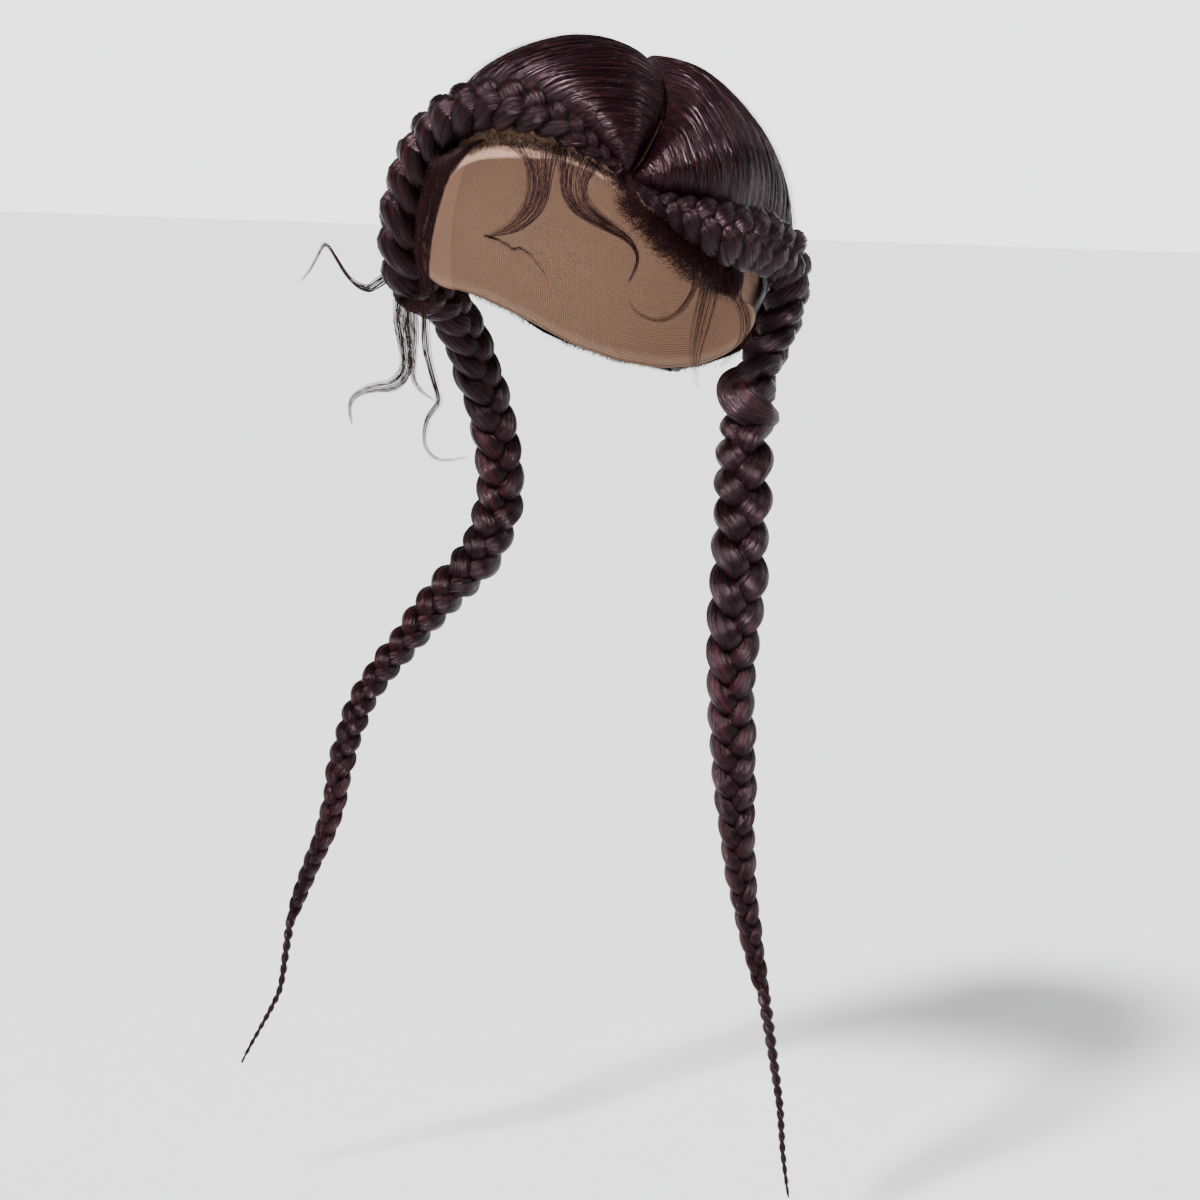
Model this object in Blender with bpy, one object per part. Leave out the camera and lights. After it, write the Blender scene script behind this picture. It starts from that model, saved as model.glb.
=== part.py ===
"""Braid wig: a lace-front cap, combed crown hair and two long three-strand plaits.

The origin is the inside top of the cap, where the head touches it.  +Z is up, the
front hairline faces -Y, and +X is the wearer's left.  Lengths are in metres.

The cap follows a head form.  A point on it has three head co-ordinates: a turn in
degrees from the front towards the wearer's left, a drop in degrees from the crown,
and a lift in metres off the inside of the cap.
"""

import math

import bmesh
import bpy
from mathutils import Vector

MM = 0.001
LEFT = 1
RIGHT = -1

# Head form, inside the cap.
HEAD_HALF_WIDTH = 78 * MM
HEAD_FRONT_DEPTH = 93 * MM
HEAD_BACK_DEPTH = 96 * MM
HEAD_HEIGHT = 98 * MM

# Cap.
LACE_WALL = 1.0 * MM
CAP_WALL = 1.5 * MM
SEAM_GAP = 0.3 * MM
CAP_RINGS = 7
CAP_COLUMNS = 18

# Crown hair.
HAIR_UNDER_LIFT = 2.5 * MM
HAIR_CROWN_LIFT = 10.5 * MM
HAIR_SIDE_SWELL = 8.0 * MM
HAIR_PART_LIFT = 5.0 * MM
HAIR_EDGE_LIFT = 5.5 * MM
HAIR_PART_GAP = 1.5 * MM
HAIR_EDGE_REACH = 0.94
HAIR_EDGE_GAP = 0.7 * MM
LOCK_DEPTH = 1.2 * MM
HAIR_RISE_SHARE = 0.35
HAIR_FALL_SHARE = 0.6
HAIR_START_SHARE = 0.02
HAIR_COLUMNS = 23
HAIR_ROWS = {LEFT: 6, RIGHT: 9}

# Plaits.
BRAID_CAP_GAP = 0.9 * MM
EAR_BACK = 12.0 * MM
FLATNESS = 0.78
STRAND_FILL = 0.955
STRAND_SIDES = 6
TWIST_STEP = 90
TWIST_FLATNESS = 0.62
ROUTE_STEP = 1.0 * MM
ROUTE_FINENESS = 40
FRAME_REACH = 3
EDGE_STRIDE = 2

# One cycle of the weave, a row for each section of a strand: angle in the cycle, sway
# to the side and lift off the middle, half width and half height of the section, as
# shares of the plait's half width and half height.
WEAVE = (
    (11.4, 0.211, 0.668, 0.178, 0.381),
    (53.7, 0.572, 0.321, 0.428, 0.784),
    (126.3, 0.572, -0.321, 0.428, 0.784),
    (168.6, 0.211, -0.668, 0.178, 0.381),
    (191.4, -0.211, 0.668, 0.178, 0.381),
    (233.7, -0.572, 0.321, 0.428, 0.784),
    (306.3, -0.572, -0.321, 0.428, 0.784),
    (348.6, -0.211, -0.668, 0.178, 0.381),
)
WEAVE_MARGIN = 4
LOBE_TURN = 120

# Lower edge of the cap: turn, drop of the lace or cap rim, in degrees.
CAP_RIM = (
    (0, 57),
    (20, 58),
    (35, 63),
    (46, 72),
    (54, 82),
    (66, 92),
    (82, 98),
    (100, 101),
    (118, 108),
    (140, 119),
    (160, 125),
    (180, 127),
)

# The parting, from the front hairline over the crown to the nape: turn, drop.
PARTING = (
    (44, 63),
    (49, 58.5),
    (58, 50),
    (65, 44),
    (72, 38),
    (80, 31),
    (92, 23),
    (116, 17),
    (146, 20),
    (165, 32),
    (174, 50),
    (179, 75),
    (180, 100),
    (180, 120),
)

# Where the hair ends behind the crown plaits, down to the nape: turn, drop.
NAPE_EDGE = (
    (111, 99.5),
    (128, 113),
    (146, 120),
    (165, 124),
    (179, 125),
)

# Crown plait of the wearer's right: turn, drop, half width and lobe pitch in mm.
RIGHT_CROWN = (
    (40, 62.5, 2.4, 7.0),
    (34, 58.5, 3.6, 8.0),
    (27, 54.5, 6.0, 9.5),
    (16.5, 50, 9.0, 11.0),
    (4, 47, 11.5, 12.0),
    (-11, 45.5, 13.0, 13.0),
    (-26, 47.5, 13.5, 13.5),
    (-40, 52.5, 13.5, 15.0),
    (-52, 61, 13.5, 16.5),
    (-60, 71, 13.5, 17.5),
    (-65, 82, 13.5, 18.0),
    (-72, 91.5, 13.0, 17.5),
    (-83, 98.5, 12.5, 16.5),
    (-96, 103, 12.5, 16.0),
)

# Hanging plait of the wearer's right: x, y, z, half width, lobe pitch in mm, and
# the turn in degrees that its flat face looks to.
RIGHT_HANGING = (
    (-87, 25, -135, 12.5, 15.0, -108),
    (-86, 36, -151, 12.5, 15.0, -116),
    (-83, 45, -173, 12.5, 15.0, -126),
    (-79, 50, -199, 12.5, 15.0, -136),
    (-77, 49, -224, 12.5, 15.0, -146),
    (-78, 41, -243, 12.5, 15.0, -152),
    (-82, 30, -257, 12.2, 15.0, -156),
    (-89, 14, -269, 11.2, 14.0, -160),
    (-98, -11, -290, 8.8, 12.5, -164),
    (-108, -38, -315, 7.4, 11.0, -166),
    (-110, -59, -345, 6.9, 10.5, -166),
    (-111, -64, -364, 6.2, 9.5, -166),
    (-116, -67, -382, 5.4, 9.0, -166),
    (-122, -69, -397, 4.6, 8.5, -166),
    (-128, -72, -414, 4.0, 8.0, -166),
    (-132, -74, -427, 2.9, 7.0, -166),
)

# Twisted end of the right plait: x, y, z, half width and lobe pitch in mm.
RIGHT_TAIL = (
    (-132.1, -74.1, -427.5, 2.5, 6.0),
    (-134, -76, -444, 2.0, 6.0),
    (-136, -78, -460, 1.6, 5.5),
    (-140, -81, -471, 1.4, 5.0),
    (-149, -88, -491, 0.9, 5.0),
    (-151.5, -91, -498, 0.5, 5.0),
)

# Crown plait of the wearer's left, columns as on the right.
LEFT_CROWN = (
    (46, 66.5, 2.4, 7.0),
    (50, 70.5, 4.5, 8.0),
    (56, 73.5, 7.5, 9.0),
    (63, 77, 11.0, 9.5),
    (70, 80, 14.0, 10.0),
    (78, 82, 15.5, 10.0),
)

# Hanging plait of the wearer's left, columns as on the right.
LEFT_HANGING = (
    (94, -4, -87, 15.5, 10.5, 86),
    (96.5, 11, -94, 13.6, 11.5, 92),
    (95, 19.5, -108, 12.4, 13.0, 98),
    (90, 19, -127, 12.2, 14.5, 106),
    (84, 10, -145, 13.0, 16.0, 122),
    (85, -2, -158, 13.0, 17.0, 146),
    (88, -13, -171, 13.3, 17.0, 168),
    (91, -24, -186, 13.6, 17.0, 188),
    (95, -35, -207, 13.8, 17.0, 208),
    (98, -44, -230, 13.8, 17.0, 222),
    (99, -51, -255, 13.3, 16.5, 222),
    (99, -56, -283, 11.6, 14.5, 218),
    (101, -58, -315, 10.8, 13.5, 210),
    (103, -58, -345, 9.5, 12.5, 208),
    (105, -57, -374, 7.6, 11.5, 206),
    (111, -56, -411, 5.4, 10.0, 206),
    (117.6, -56, -437, 3.8, 9.0, 206),
)

# Twisted end of the left plait, columns as on the right.
LEFT_TAIL = (
    (117.7, -56, -437.5, 3.4, 7.0),
    (122, -56, -463, 2.6, 6.5),
    (126, -56, -489, 2.0, 5.5),
    (128, -56, -513, 1.5, 5.5),
    (131, -56, -534, 0.6, 5.0),
)

# Colour, roughness of each finish.
FINISHES = {
    "lace": ((0.58, 0.36, 0.23), 0.75),
    "cap_knit": ((0.30, 0.18, 0.12), 0.85),
    "hair": ((0.024, 0.010, 0.012), 0.42),
}


def clear_scene():
    """Remove whatever the scene starts with."""
    for thing in list(bpy.data.objects):
        bpy.data.objects.remove(thing, do_unlink=True)


def finish(name):
    """Return the named material, made once."""
    found = bpy.data.materials.get(name)
    if found:
        return found
    colour, roughness = FINISHES[name]
    made = bpy.data.materials.new(name)
    made.use_nodes = True
    shader = made.node_tree.nodes["Principled BSDF"]
    shader.inputs["Base Color"].default_value = (*colour, 1.0)
    shader.inputs["Roughness"].default_value = roughness
    shader.inputs["Metallic"].default_value = 0.0
    return made


def head_point(turn, drop, lift=0.0):
    """Point of the head form at a turn, drop and lift."""
    turn, drop = math.radians(turn), math.radians(drop)
    depth = HEAD_FRONT_DEPTH if math.cos(turn) > 0 else HEAD_BACK_DEPTH
    across = math.sin(drop)
    return Vector((
        (HEAD_HALF_WIDTH + lift) * across * math.sin(turn),
        -(depth + lift) * across * math.cos(turn),
        lift - (HEAD_HEIGHT + lift) * (1 - math.cos(drop)),
    ))


def head_direction(turn, drop):
    """Unit vector that stands for a turn and drop."""
    turn, drop = math.radians(turn), math.radians(drop)
    return Vector((
        math.sin(drop) * math.sin(turn),
        -math.sin(drop) * math.cos(turn),
        math.cos(drop),
    ))


def turn_and_drop(direction):
    """Turn and drop of a unit vector."""
    drop = math.degrees(math.acos(max(-1.0, min(1.0, direction.z))))
    return math.degrees(math.atan2(direction.x, -direction.y)), drop


def head_outward(turn, drop):
    """Outward unit normal of the head form."""
    depth = HEAD_FRONT_DEPTH if math.cos(math.radians(turn)) > 0 else HEAD_BACK_DEPTH
    way = head_direction(turn, drop)
    return Vector((way.x / HEAD_HALF_WIDTH, way.y / depth, way.z / HEAD_HEIGHT)).normalized()


def blend(table, at, column):
    """Linear read of a table column at a value of its first column."""
    for low, high in zip(table, table[1:]):
        if at <= high[0]:
            share = (at - low[0]) / (high[0] - low[0])
            return low[column] + (high[column] - low[column]) * max(0.0, share)
    return table[-1][column]


def smooth_read(rows, at):
    """Catmull-Rom read of equally spaced rows at a fractional row number."""
    last = len(rows) - 1
    index = min(int(at), last - 1)
    share = at - index
    near = [rows[max(0, min(last, index + k))] for k in (-1, 0, 1, 2)]
    values = []
    for before, start, end, after in zip(*near):
        bend = 2 * before - 5 * start + 4 * end - after
        turn_back = 3 * (start - end) + after - before
        values.append(start + 0.5 * share * (end - before + share * (bend + share * turn_back)))
    return values


def smooth_rows(rows):
    """Rows read finely along the whole table."""
    count = ROUTE_FINENESS * (len(rows) - 1)
    return [smooth_read(rows, k / ROUTE_FINENESS) for k in range(count + 1)]


def add_solid(name, vertices, faces, material, collection):
    """Make one closed body facing out."""
    mesh = bpy.data.meshes.new(name)
    mesh.from_pydata([tuple(v) for v in vertices], [], faces)
    shaper = bmesh.new()
    shaper.from_mesh(mesh)
    bmesh.ops.remove_doubles(shaper, verts=shaper.verts, dist=1e-6)
    bmesh.ops.recalc_face_normals(shaper, faces=shaper.faces)
    if shaper.calc_volume(signed=True) < 0:
        bmesh.ops.reverse_faces(shaper, faces=shaper.faces)
    shaper.to_mesh(mesh)
    shaper.free()
    mesh.materials.append(finish(material))
    made = bpy.data.objects.new(name, mesh)
    collection.objects.link(made)
    return made


def add_walled_sheet(name, outer, inner, material, collection):
    """Make a wall between two grids of points with the same rows and columns."""
    rows, columns = len(outer), len(outer[0])
    vertices = [p for grid in (outer, inner) for row in grid for p in row]
    offset = rows * columns

    def at(layer, row, column):
        return layer * offset + row * columns + column

    faces = []
    for row in range(rows - 1):
        for column in range(columns - 1):
            corners = ((row, column), (row, column + 1), (row + 1, column + 1), (row + 1, column))
            for triangle in ((0, 1, 2), (0, 2, 3)):
                faces.append([at(0, *corners[k]) for k in triangle])
                faces.append([at(1, *corners[k]) for k in reversed(triangle)])
    rim = [(0, c) for c in range(columns)]
    rim += [(r, columns - 1) for r in range(1, rows)]
    rim += [(rows - 1, c) for c in range(columns - 2, -1, -1)]
    rim += [(r, 0) for r in range(rows - 2, 0, -1)]
    for here, there in zip(rim, rim[1:] + rim[:1]):
        faces.append([at(0, *there), at(0, *here), at(1, *here), at(1, *there)])
    return add_solid(name, vertices, faces, material, collection)


def cap_half(name, wall, turns, shift, material, collection):
    """Make the front or back half of the cap, split over the crown from ear to ear."""
    grids = []
    for lift in (wall, 0.0):
        grid = []
        for ring in range(CAP_RINGS + 1):
            row = []
            for turn in turns:
                rim = blend(CAP_RIM, abs((turn + 180) % 360 - 180), 1)
                row.append(head_point(turn, rim * ring / CAP_RINGS, lift) + Vector((0, shift, 0)))
            grid.append(row)
        grids.append(grid)
    return add_walled_sheet(name, grids[0], grids[1], material, collection)


class Plait:
    """A three-strand plait along a route, with its frame, size and weave phase."""

    def __init__(self, crown, hanging):
        rows = []
        for turn, drop, half_width, pitch in crown:
            lift = CAP_WALL + BRAID_CAP_GAP + FLATNESS * half_width * MM
            rows.append([*head_point(turn, drop, lift), *head_outward(turn, drop), half_width, pitch])
        for x, y, z, half_width, pitch, face in hanging:
            face = math.radians(face)
            out = (math.sin(face), -math.cos(face), 0.0)
            rows.append([x * MM, y * MM, z * MM, *out, half_width, pitch])
        fine = smooth_rows(rows)
        self.places, self.outs, self.widths, self.pitches = [], [], [], []
        travelled = wanted = 0.0
        for here, there in zip(fine, fine[1:]):
            step = (Vector(there[:3]) - Vector(here[:3])).length
            while wanted <= travelled + step:
                share = (wanted - travelled) / step
                row = [a + (b - a) * share for a, b in zip(here, there)]
                self.places.append(Vector(row[:3]))
                self.outs.append(Vector(row[3:6]).normalized())
                self.widths.append(row[6] * MM)
                self.pitches.append(row[7] * MM)
                wanted += ROUTE_STEP
            travelled += step
        self.phases = [0.0]
        for pitch in self.pitches[1:]:
            self.phases.append(self.phases[-1] + LOBE_TURN * ROUTE_STEP / pitch)

    def frame(self, at):
        """Centre, side, outward vector and half width at a fractional step."""
        index = min(int(at), len(self.places) - 2)
        share = at - index
        centre = self.places[index].lerp(self.places[index + 1], share)
        low, high = max(0, index - FRAME_REACH), min(len(self.places) - 1, index + 1 + FRAME_REACH)
        along = (self.places[high] - self.places[low]).normalized()
        out = self.outs[index].lerp(self.outs[index + 1], share)
        out = (out - along * out.dot(along)).normalized()
        width = self.widths[index] + (self.widths[index + 1] - self.widths[index]) * share
        return centre, along.cross(out), out, width

    def step_at(self, phase):
        """Fractional step where the weave reaches a phase."""
        low, high = 0, len(self.phases) - 1
        while high - low > 1:
            middle = (low + high) // 2
            if self.phases[middle] <= phase:
                low = middle
            else:
                high = middle
        return low + (phase - self.phases[low]) / (self.phases[high] - self.phases[low])

    def stops(self, lead):
        """Sections of a strand: step, sideways sway, outward lift and half width."""
        end = self.phases[-1]
        rows = [(360 * cycle + row[0] - lead, *row[1:])
                for cycle in range(-1, int(end // 360) + 3) for row in WEAVE]
        first = max(k for k, row in enumerate(rows) if row[0] <= 0)
        last = min(k for k, row in enumerate(rows) if row[0] >= end)
        start = self.between(rows[first], rows[first + 1], 0.0)
        finish_row = self.between(rows[last - 1], rows[last], end)
        inside = [row for row in rows[first + 1:last] if WEAVE_MARGIN < row[0] < end - WEAVE_MARGIN]
        return [(self.step_at(row[0]), *row[1:]) for row in [start] + inside + [finish_row]]

    @staticmethod
    def between(low, high, at):
        """Weave row between two others, at an angle."""
        share = (at - low[0]) / (high[0] - low[0])
        return tuple(a + (b - a) * share for a, b in zip(low, high))

    def strand(self, name, lead, collection):
        """Make one strand as a loft of six-sided sections."""
        rings = []
        for at, sway, lift, broad, tall in self.stops(lead):
            centre, side, out, half_width = self.frame(at)
            half_height = FLATNESS * half_width
            middle = centre + side * (half_width * sway) + out * (half_height * lift)
            ring = []
            for corner in range(STRAND_SIDES):
                angle = 2 * math.pi * corner / STRAND_SIDES
                across = side * (STRAND_FILL * half_width * broad * math.cos(angle))
                ring.append(middle + across + out * (STRAND_FILL * half_height * tall * math.sin(angle)))
            rings.append(ring)
        return add_loft(name, rings, "hair", collection)


def add_loft(name, rings, material, collection):
    """Make a closed body through rings of points, with flat ends."""
    sides = len(rings[0])
    vertices = [p for ring in rings for p in ring]
    faces = [list(range(sides - 1, -1, -1))]
    for ring in range(len(rings) - 1):
        for side in range(sides):
            after = (side + 1) % sides
            near = (ring * sides + side, ring * sides + after)
            far = (near[0] + sides, near[1] + sides)
            one_way = (vertices[near[0]] - vertices[far[1]]).length
            other_way = (vertices[near[1]] - vertices[far[0]]).length
            if one_way <= other_way:
                faces += [[near[0], near[1], far[1]], [near[0], far[1], far[0]]]
            else:
                faces += [[near[0], near[1], far[0]], [near[1], far[1], far[0]]]
    faces.append([(len(rings) - 1) * sides + side for side in range(sides)])
    return add_solid(name, vertices, faces, material, collection)


def add_twist(name, tail, collection):
    """Make the thin twisted end of a plait as one body that turns about its route."""
    rows = [[x * MM, y * MM, z * MM, half_width * MM, pitch * MM] for x, y, z, half_width, pitch in tail]
    fine = smooth_rows(rows)
    rings = []
    angle = wanted = 0.0
    for number, row in enumerate(fine):
        last = number == len(fine) - 1
        if number:
            moved = (Vector(row[:3]) - Vector(fine[number - 1][:3])).length
            angle += 180 * moved / row[4]
        if angle < wanted and not last:
            continue
        wanted = angle + TWIST_STEP
        ahead, behind = fine[min(number + 1, len(fine) - 1)], fine[max(number - 1, 0)]
        along = (Vector(ahead[:3]) - Vector(behind[:3])).normalized()
        side = along.cross(Vector((0, 1, 0))).normalized()
        out = side.cross(along)
        lean = math.radians(angle)
        wide_way = side * math.cos(lean) + out * math.sin(lean)
        thin_way = out * math.cos(lean) - side * math.sin(lean)
        centre, half_width = Vector(row[:3]), row[3]
        ring = []
        for corner in range(STRAND_SIDES):
            about = 2 * math.pi * corner / STRAND_SIDES
            reach = wide_way * (half_width * math.cos(about))
            ring.append(centre + reach + thin_way * (TWIST_FLATNESS * half_width * math.sin(about)))
        rings.append(ring)
    return add_loft(name, rings, "hair", collection)


def hair_edge(plait, side_sign):
    """Head directions beside the crown plait, from its start to behind the ear."""
    edge = []
    last = next(step for step, place in enumerate(plait.places) if place.y > EAR_BACK)
    for step in range(0, last + 1, EDGE_STRIDE):
        centre, side, out, half_width = plait.frame(step)
        beside = side_sign * (HAIR_EDGE_REACH * half_width + HAIR_EDGE_GAP)
        inner = centre - out * (FLATNESS * half_width) + side * beside
        flat = Vector((inner.x / HEAD_HALF_WIDTH, 0, (inner.z + HEAD_HEIGHT) / HEAD_HEIGHT))
        flat.y = inner.y / (HEAD_FRONT_DEPTH if inner.y < 0 else HEAD_BACK_DEPTH)
        edge.append(flat.normalized())
    return edge


def even_points(directions, count):
    """Points at equal arc spacing along a chain of head directions, from just past its start."""
    places = [head_point(*turn_and_drop(d), HAIR_UNDER_LIFT) for d in directions]
    lengths = [0.0]
    for here, there in zip(places, places[1:]):
        lengths.append(lengths[-1] + (there - here).length)
    found, index = [], 0
    for number in range(count):
        share = HAIR_START_SHARE + (1 - HAIR_START_SHARE) * number / (count - 1)
        wanted = lengths[-1] * share
        while index < len(lengths) - 2 and lengths[index + 1] < wanted:
            index += 1
        span = lengths[index + 1] - lengths[index]
        part = (wanted - lengths[index]) / span if span else 0.0
        found.append(directions[index].lerp(directions[index + 1], part).normalized())
    return found


def hair_lift(across, column, drop):
    """Height of the hair's outside from the parting (0) to the plait (1)."""
    swell = HAIR_CROWN_LIFT + HAIR_SIDE_SWELL * math.sin(math.radians(min(drop, 90))) ** 2
    rise = math.sin(math.pi / 2 * min(1, across / HAIR_RISE_SHARE))
    rise = HAIR_PART_LIFT + (swell - HAIR_PART_LIFT) * rise
    fall = max(0.0, (across - HAIR_FALL_SHARE) / (1 - HAIR_FALL_SHARE))
    lift = rise + (HAIR_EDGE_LIFT - rise) * fall * fall
    groove = LOCK_DEPTH * math.sin(math.pi * across) * (column % 2)
    return lift - groove


def crown_hair(name, plait, side, collection):
    """Make the combed hair of one side, ribbed in locks from the parting to the edge."""
    parting = smooth_rows([list(head_direction(*row)) for row in PARTING])
    parting = even_points([Vector(d).normalized() for d in parting], HAIR_COLUMNS)
    edge = hair_edge(plait, -side)
    nape = [edge[-1]] + [head_direction(side * turn, drop) for turn, drop in NAPE_EDGE]
    nape = smooth_rows([list(d) for d in nape])
    edge = even_points(edge + [Vector(d).normalized() for d in nape[1:]], HAIR_COLUMNS)
    outer, inner = [], []
    rows = HAIR_ROWS[side]
    for row in range(rows + 1):
        across = row / rows
        outer_row, inner_row = [], []
        for column in range(HAIR_COLUMNS):
            start = parting[column].copy()
            along = parting[min(column + 1, HAIR_COLUMNS - 1)] - parting[max(column - 1, 0)]
            away = start.cross(along).normalized() * -side
            shift = HAIR_PART_GAP / 2 / HEAD_HALF_WIDTH
            start = (start + away * shift).normalized()
            way = start.slerp(edge[column], across).normalized() if row else start
            turn, drop = turn_and_drop(way)
            outer_row.append(head_point(turn, drop, hair_lift(across, column, drop)))
            inner_row.append(head_point(turn, drop, HAIR_UNDER_LIFT))
        outer.append(outer_row)
        inner.append(inner_row)
    return add_walled_sheet(name, outer, inner, "hair", collection)


def build():
    """Build the wig."""
    clear_scene()
    wig = bpy.data.collections.new("braid_wig")
    bpy.context.scene.collection.children.link(wig)

    front = [-90 + 180 * k / CAP_COLUMNS for k in range(CAP_COLUMNS + 1)]
    back = [90 + 180 * k / CAP_COLUMNS for k in range(CAP_COLUMNS + 1)]
    cap_half("lace_front", LACE_WALL, front, -SEAM_GAP / 2, "lace", wig)
    cap_half("wig_cap", CAP_WALL, back, SEAM_GAP / 2, "cap_knit", wig)

    sides = (
        ("right", RIGHT, RIGHT_CROWN, RIGHT_HANGING, RIGHT_TAIL),
        ("left", LEFT, LEFT_CROWN, LEFT_HANGING, LEFT_TAIL),
    )
    for word, side, crown, hanging, tail in sides:
        plait = Plait(crown, hanging)
        for number in range(3):
            plait.strand(f"{word}_braid_strand_{number + 1}", LOBE_TURN * number, wig)
        add_twist(f"{word}_tail_twist", tail, wig)
        crown_hair(f"crown_hair_{word}", plait, side, wig)


build()
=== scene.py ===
"""Dressed scene of the braid wig: lace front, knitted cap, combed hair, two long plaits and loose hair.

Lengths in the tables are millimetres and angles are degrees. Points over the cap's form are given by a turn
about the upright axis (0 is the front, + the left side as worn) and a drop from the crown.
"""
import logging
import math
from dataclasses import dataclass, field
from enum import Enum

import bpy
import numpy as np
from bpy.types import Material
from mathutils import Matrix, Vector
from numpy import ndarray
from numpy.random import Generator


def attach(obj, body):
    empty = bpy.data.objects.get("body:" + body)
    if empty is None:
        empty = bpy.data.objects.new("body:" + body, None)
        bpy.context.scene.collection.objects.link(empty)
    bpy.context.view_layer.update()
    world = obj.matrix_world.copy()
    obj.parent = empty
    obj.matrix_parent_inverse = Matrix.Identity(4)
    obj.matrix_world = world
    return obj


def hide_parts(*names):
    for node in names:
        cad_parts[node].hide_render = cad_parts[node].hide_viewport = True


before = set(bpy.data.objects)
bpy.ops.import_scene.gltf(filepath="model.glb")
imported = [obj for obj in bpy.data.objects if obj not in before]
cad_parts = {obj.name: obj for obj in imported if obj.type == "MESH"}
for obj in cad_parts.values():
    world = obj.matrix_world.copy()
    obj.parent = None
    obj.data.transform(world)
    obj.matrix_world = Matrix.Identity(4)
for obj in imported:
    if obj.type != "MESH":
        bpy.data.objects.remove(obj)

LOG = logging.getLogger("braid_wig")
MM = 0.001
BODY = "root"
UV_NAME = "fibre"

# Form that the cap is shaped on: half width, depth before and behind its middle, height.
HALF_WIDTH, FRONT_DEPTH, BACK_DEPTH, HEIGHT = 78.0, 93.0, 96.0, 98.0
FORM_CENTRE = np.array((0.0, 0.0, -HEIGHT * MM))
CAP_WALL = 1.5

# Plaits: space between them and the cap, thickness over width, and the weave angle of one lobe.
BRAID_CAP_GAP = 0.9
FLATNESS = 0.78
LOBE_TURN = 120.0

# Size of a texture over a plait's and a bundle's girth, and over one half of the cap.
GIRTH_TEXTURE = 40.0
CAP_TEXTURE = (240.0, 300.0)

# Way that the rings of hairs that stand free are turned to, and a place just inside a grid's last row.
FREE_GUIDE = np.array((0.31, 0.83, 0.46))
LAST_INSIDE = 1.001

# Rim of the cap: turn, drop.
CAP_RIM = (
    (0, 57), (20, 58), (35, 63), (46, 72), (54, 82), (66, 92), (82, 98), (100, 101),
    (118, 108), (140, 119), (160, 125), (180, 127),
)

# Rounded hem of the cap: share of the wall, drop past the rim.
HEM = ((1.0, 0.15), (0.85, 0.35), (0.5, 0.45), (0.2, 0.35), (0.0, 0.15), (0.0, 0.0))

# Parting from the hairline over the crown to the nape: turn, drop.
PARTING = (
    (44, 63), (49, 58.5), (58, 50), (65, 44), (72, 38), (80, 31), (92, 23), (116, 17),
    (146, 20), (165, 32), (174, 50), (179, 75), (180, 100), (180, 120),
)

# Lower edge of the combed hair at the back, for both sides: turn, drop.
NAPE_EDGE = ((111, 99.5), (128, 113), (146, 120), (165, 124), (179, 125))

# Crown plaits: turn, drop, half width, lobe pitch.
RIGHT_CROWN = (
    (40, 62.5, 2.4, 7), (34, 58.5, 3.6, 8), (27, 54.5, 6, 9.5), (16.5, 50, 9, 11),
    (4, 47, 11.5, 12), (-11, 45.5, 13, 13), (-26, 47.5, 13.5, 13.5), (-40, 52.5, 13.5, 15),
    (-52, 61, 13.5, 16.5), (-60, 71, 13.5, 17.5), (-65, 82, 13.5, 18), (-72, 91.5, 13, 17.5),
    (-83, 98.5, 12.5, 16.5), (-96, 103, 12.5, 16),
)
LEFT_CROWN = (
    (46, 66.5, 2.4, 7), (50, 70.5, 4.5, 8), (56, 73.5, 7.5, 9), (63, 77, 11, 9.5),
    (70, 80, 14, 10), (78, 82, 15.5, 10),
)

# Hanging plaits: x, y, z, half width, lobe pitch, way the outer face looks.
RIGHT_HANGING = (
    (-87, 25, -135, 12.5, 15, -108), (-86, 36, -151, 12.5, 15, -116),
    (-83, 45, -173, 12.5, 15, -126), (-79, 50, -199, 12.5, 15, -136),
    (-77, 49, -224, 12.5, 15, -146), (-78, 41, -243, 12.5, 15, -152),
    (-82, 30, -257, 12.2, 15, -156), (-89, 14, -269, 11.2, 14, -160),
    (-98, -11, -290, 8.8, 12.5, -164), (-108, -38, -315, 7.4, 11, -166),
    (-110, -59, -345, 6.9, 10.5, -166), (-111, -64, -364, 6.2, 9.5, -166),
    (-116, -67, -382, 5.4, 9, -166), (-122, -69, -397, 4.6, 8.5, -166),
    (-128, -72, -414, 4, 8, -166), (-132, -74, -427, 2.9, 7, -166),
)
LEFT_HANGING = (
    (94, -4, -87, 15.5, 10.5, 86), (96.5, 11, -94, 13.6, 11.5, 92),
    (95, 19.5, -108, 12.4, 13, 98), (90, 19, -127, 12.2, 14.5, 106),
    (84, 10, -145, 13, 16, 122), (85, -2, -158, 13, 17, 146),
    (88, -13, -171, 13.3, 17, 168), (91, -24, -186, 13.6, 17, 188),
    (95, -35, -207, 13.8, 17, 208), (98, -44, -230, 13.8, 17, 222),
    (99, -51, -255, 13.3, 16.5, 222), (99, -56, -283, 11.6, 14.5, 218),
    (101, -58, -315, 10.8, 13.5, 210), (103, -58, -345, 9.5, 12.5, 208),
    (105, -57, -374, 7.6, 11.5, 206), (111, -56, -411, 5.4, 10, 206),
    (117.6, -56, -437, 3.8, 9, 206),
)

# Twisted ends: x, y, z, half width, length of a half turn.
RIGHT_TAIL = (
    (-130.2, -73.2, -420.5, 2.2, 6), (-132.1, -74.1, -427.5, 2.5, 6), (-134, -76, -444, 2, 6),
    (-136, -78, -460, 1.6, 5.5),
    (-140, -81, -471, 1.4, 5), (-149, -88, -491, 0.9, 5), (-151.5, -91, -498, 0.5, 5),
)
LEFT_TAIL = (
    (115.8, -56, -430, 2.8, 8), (117.7, -56, -437.5, 3.4, 7), (122, -56, -463, 2.6, 6.5),
    (126, -56, -489, 2, 5.5), (128, -56, -513, 1.5, 5.5), (131, -56, -534, 0.6, 5),
)

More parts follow.
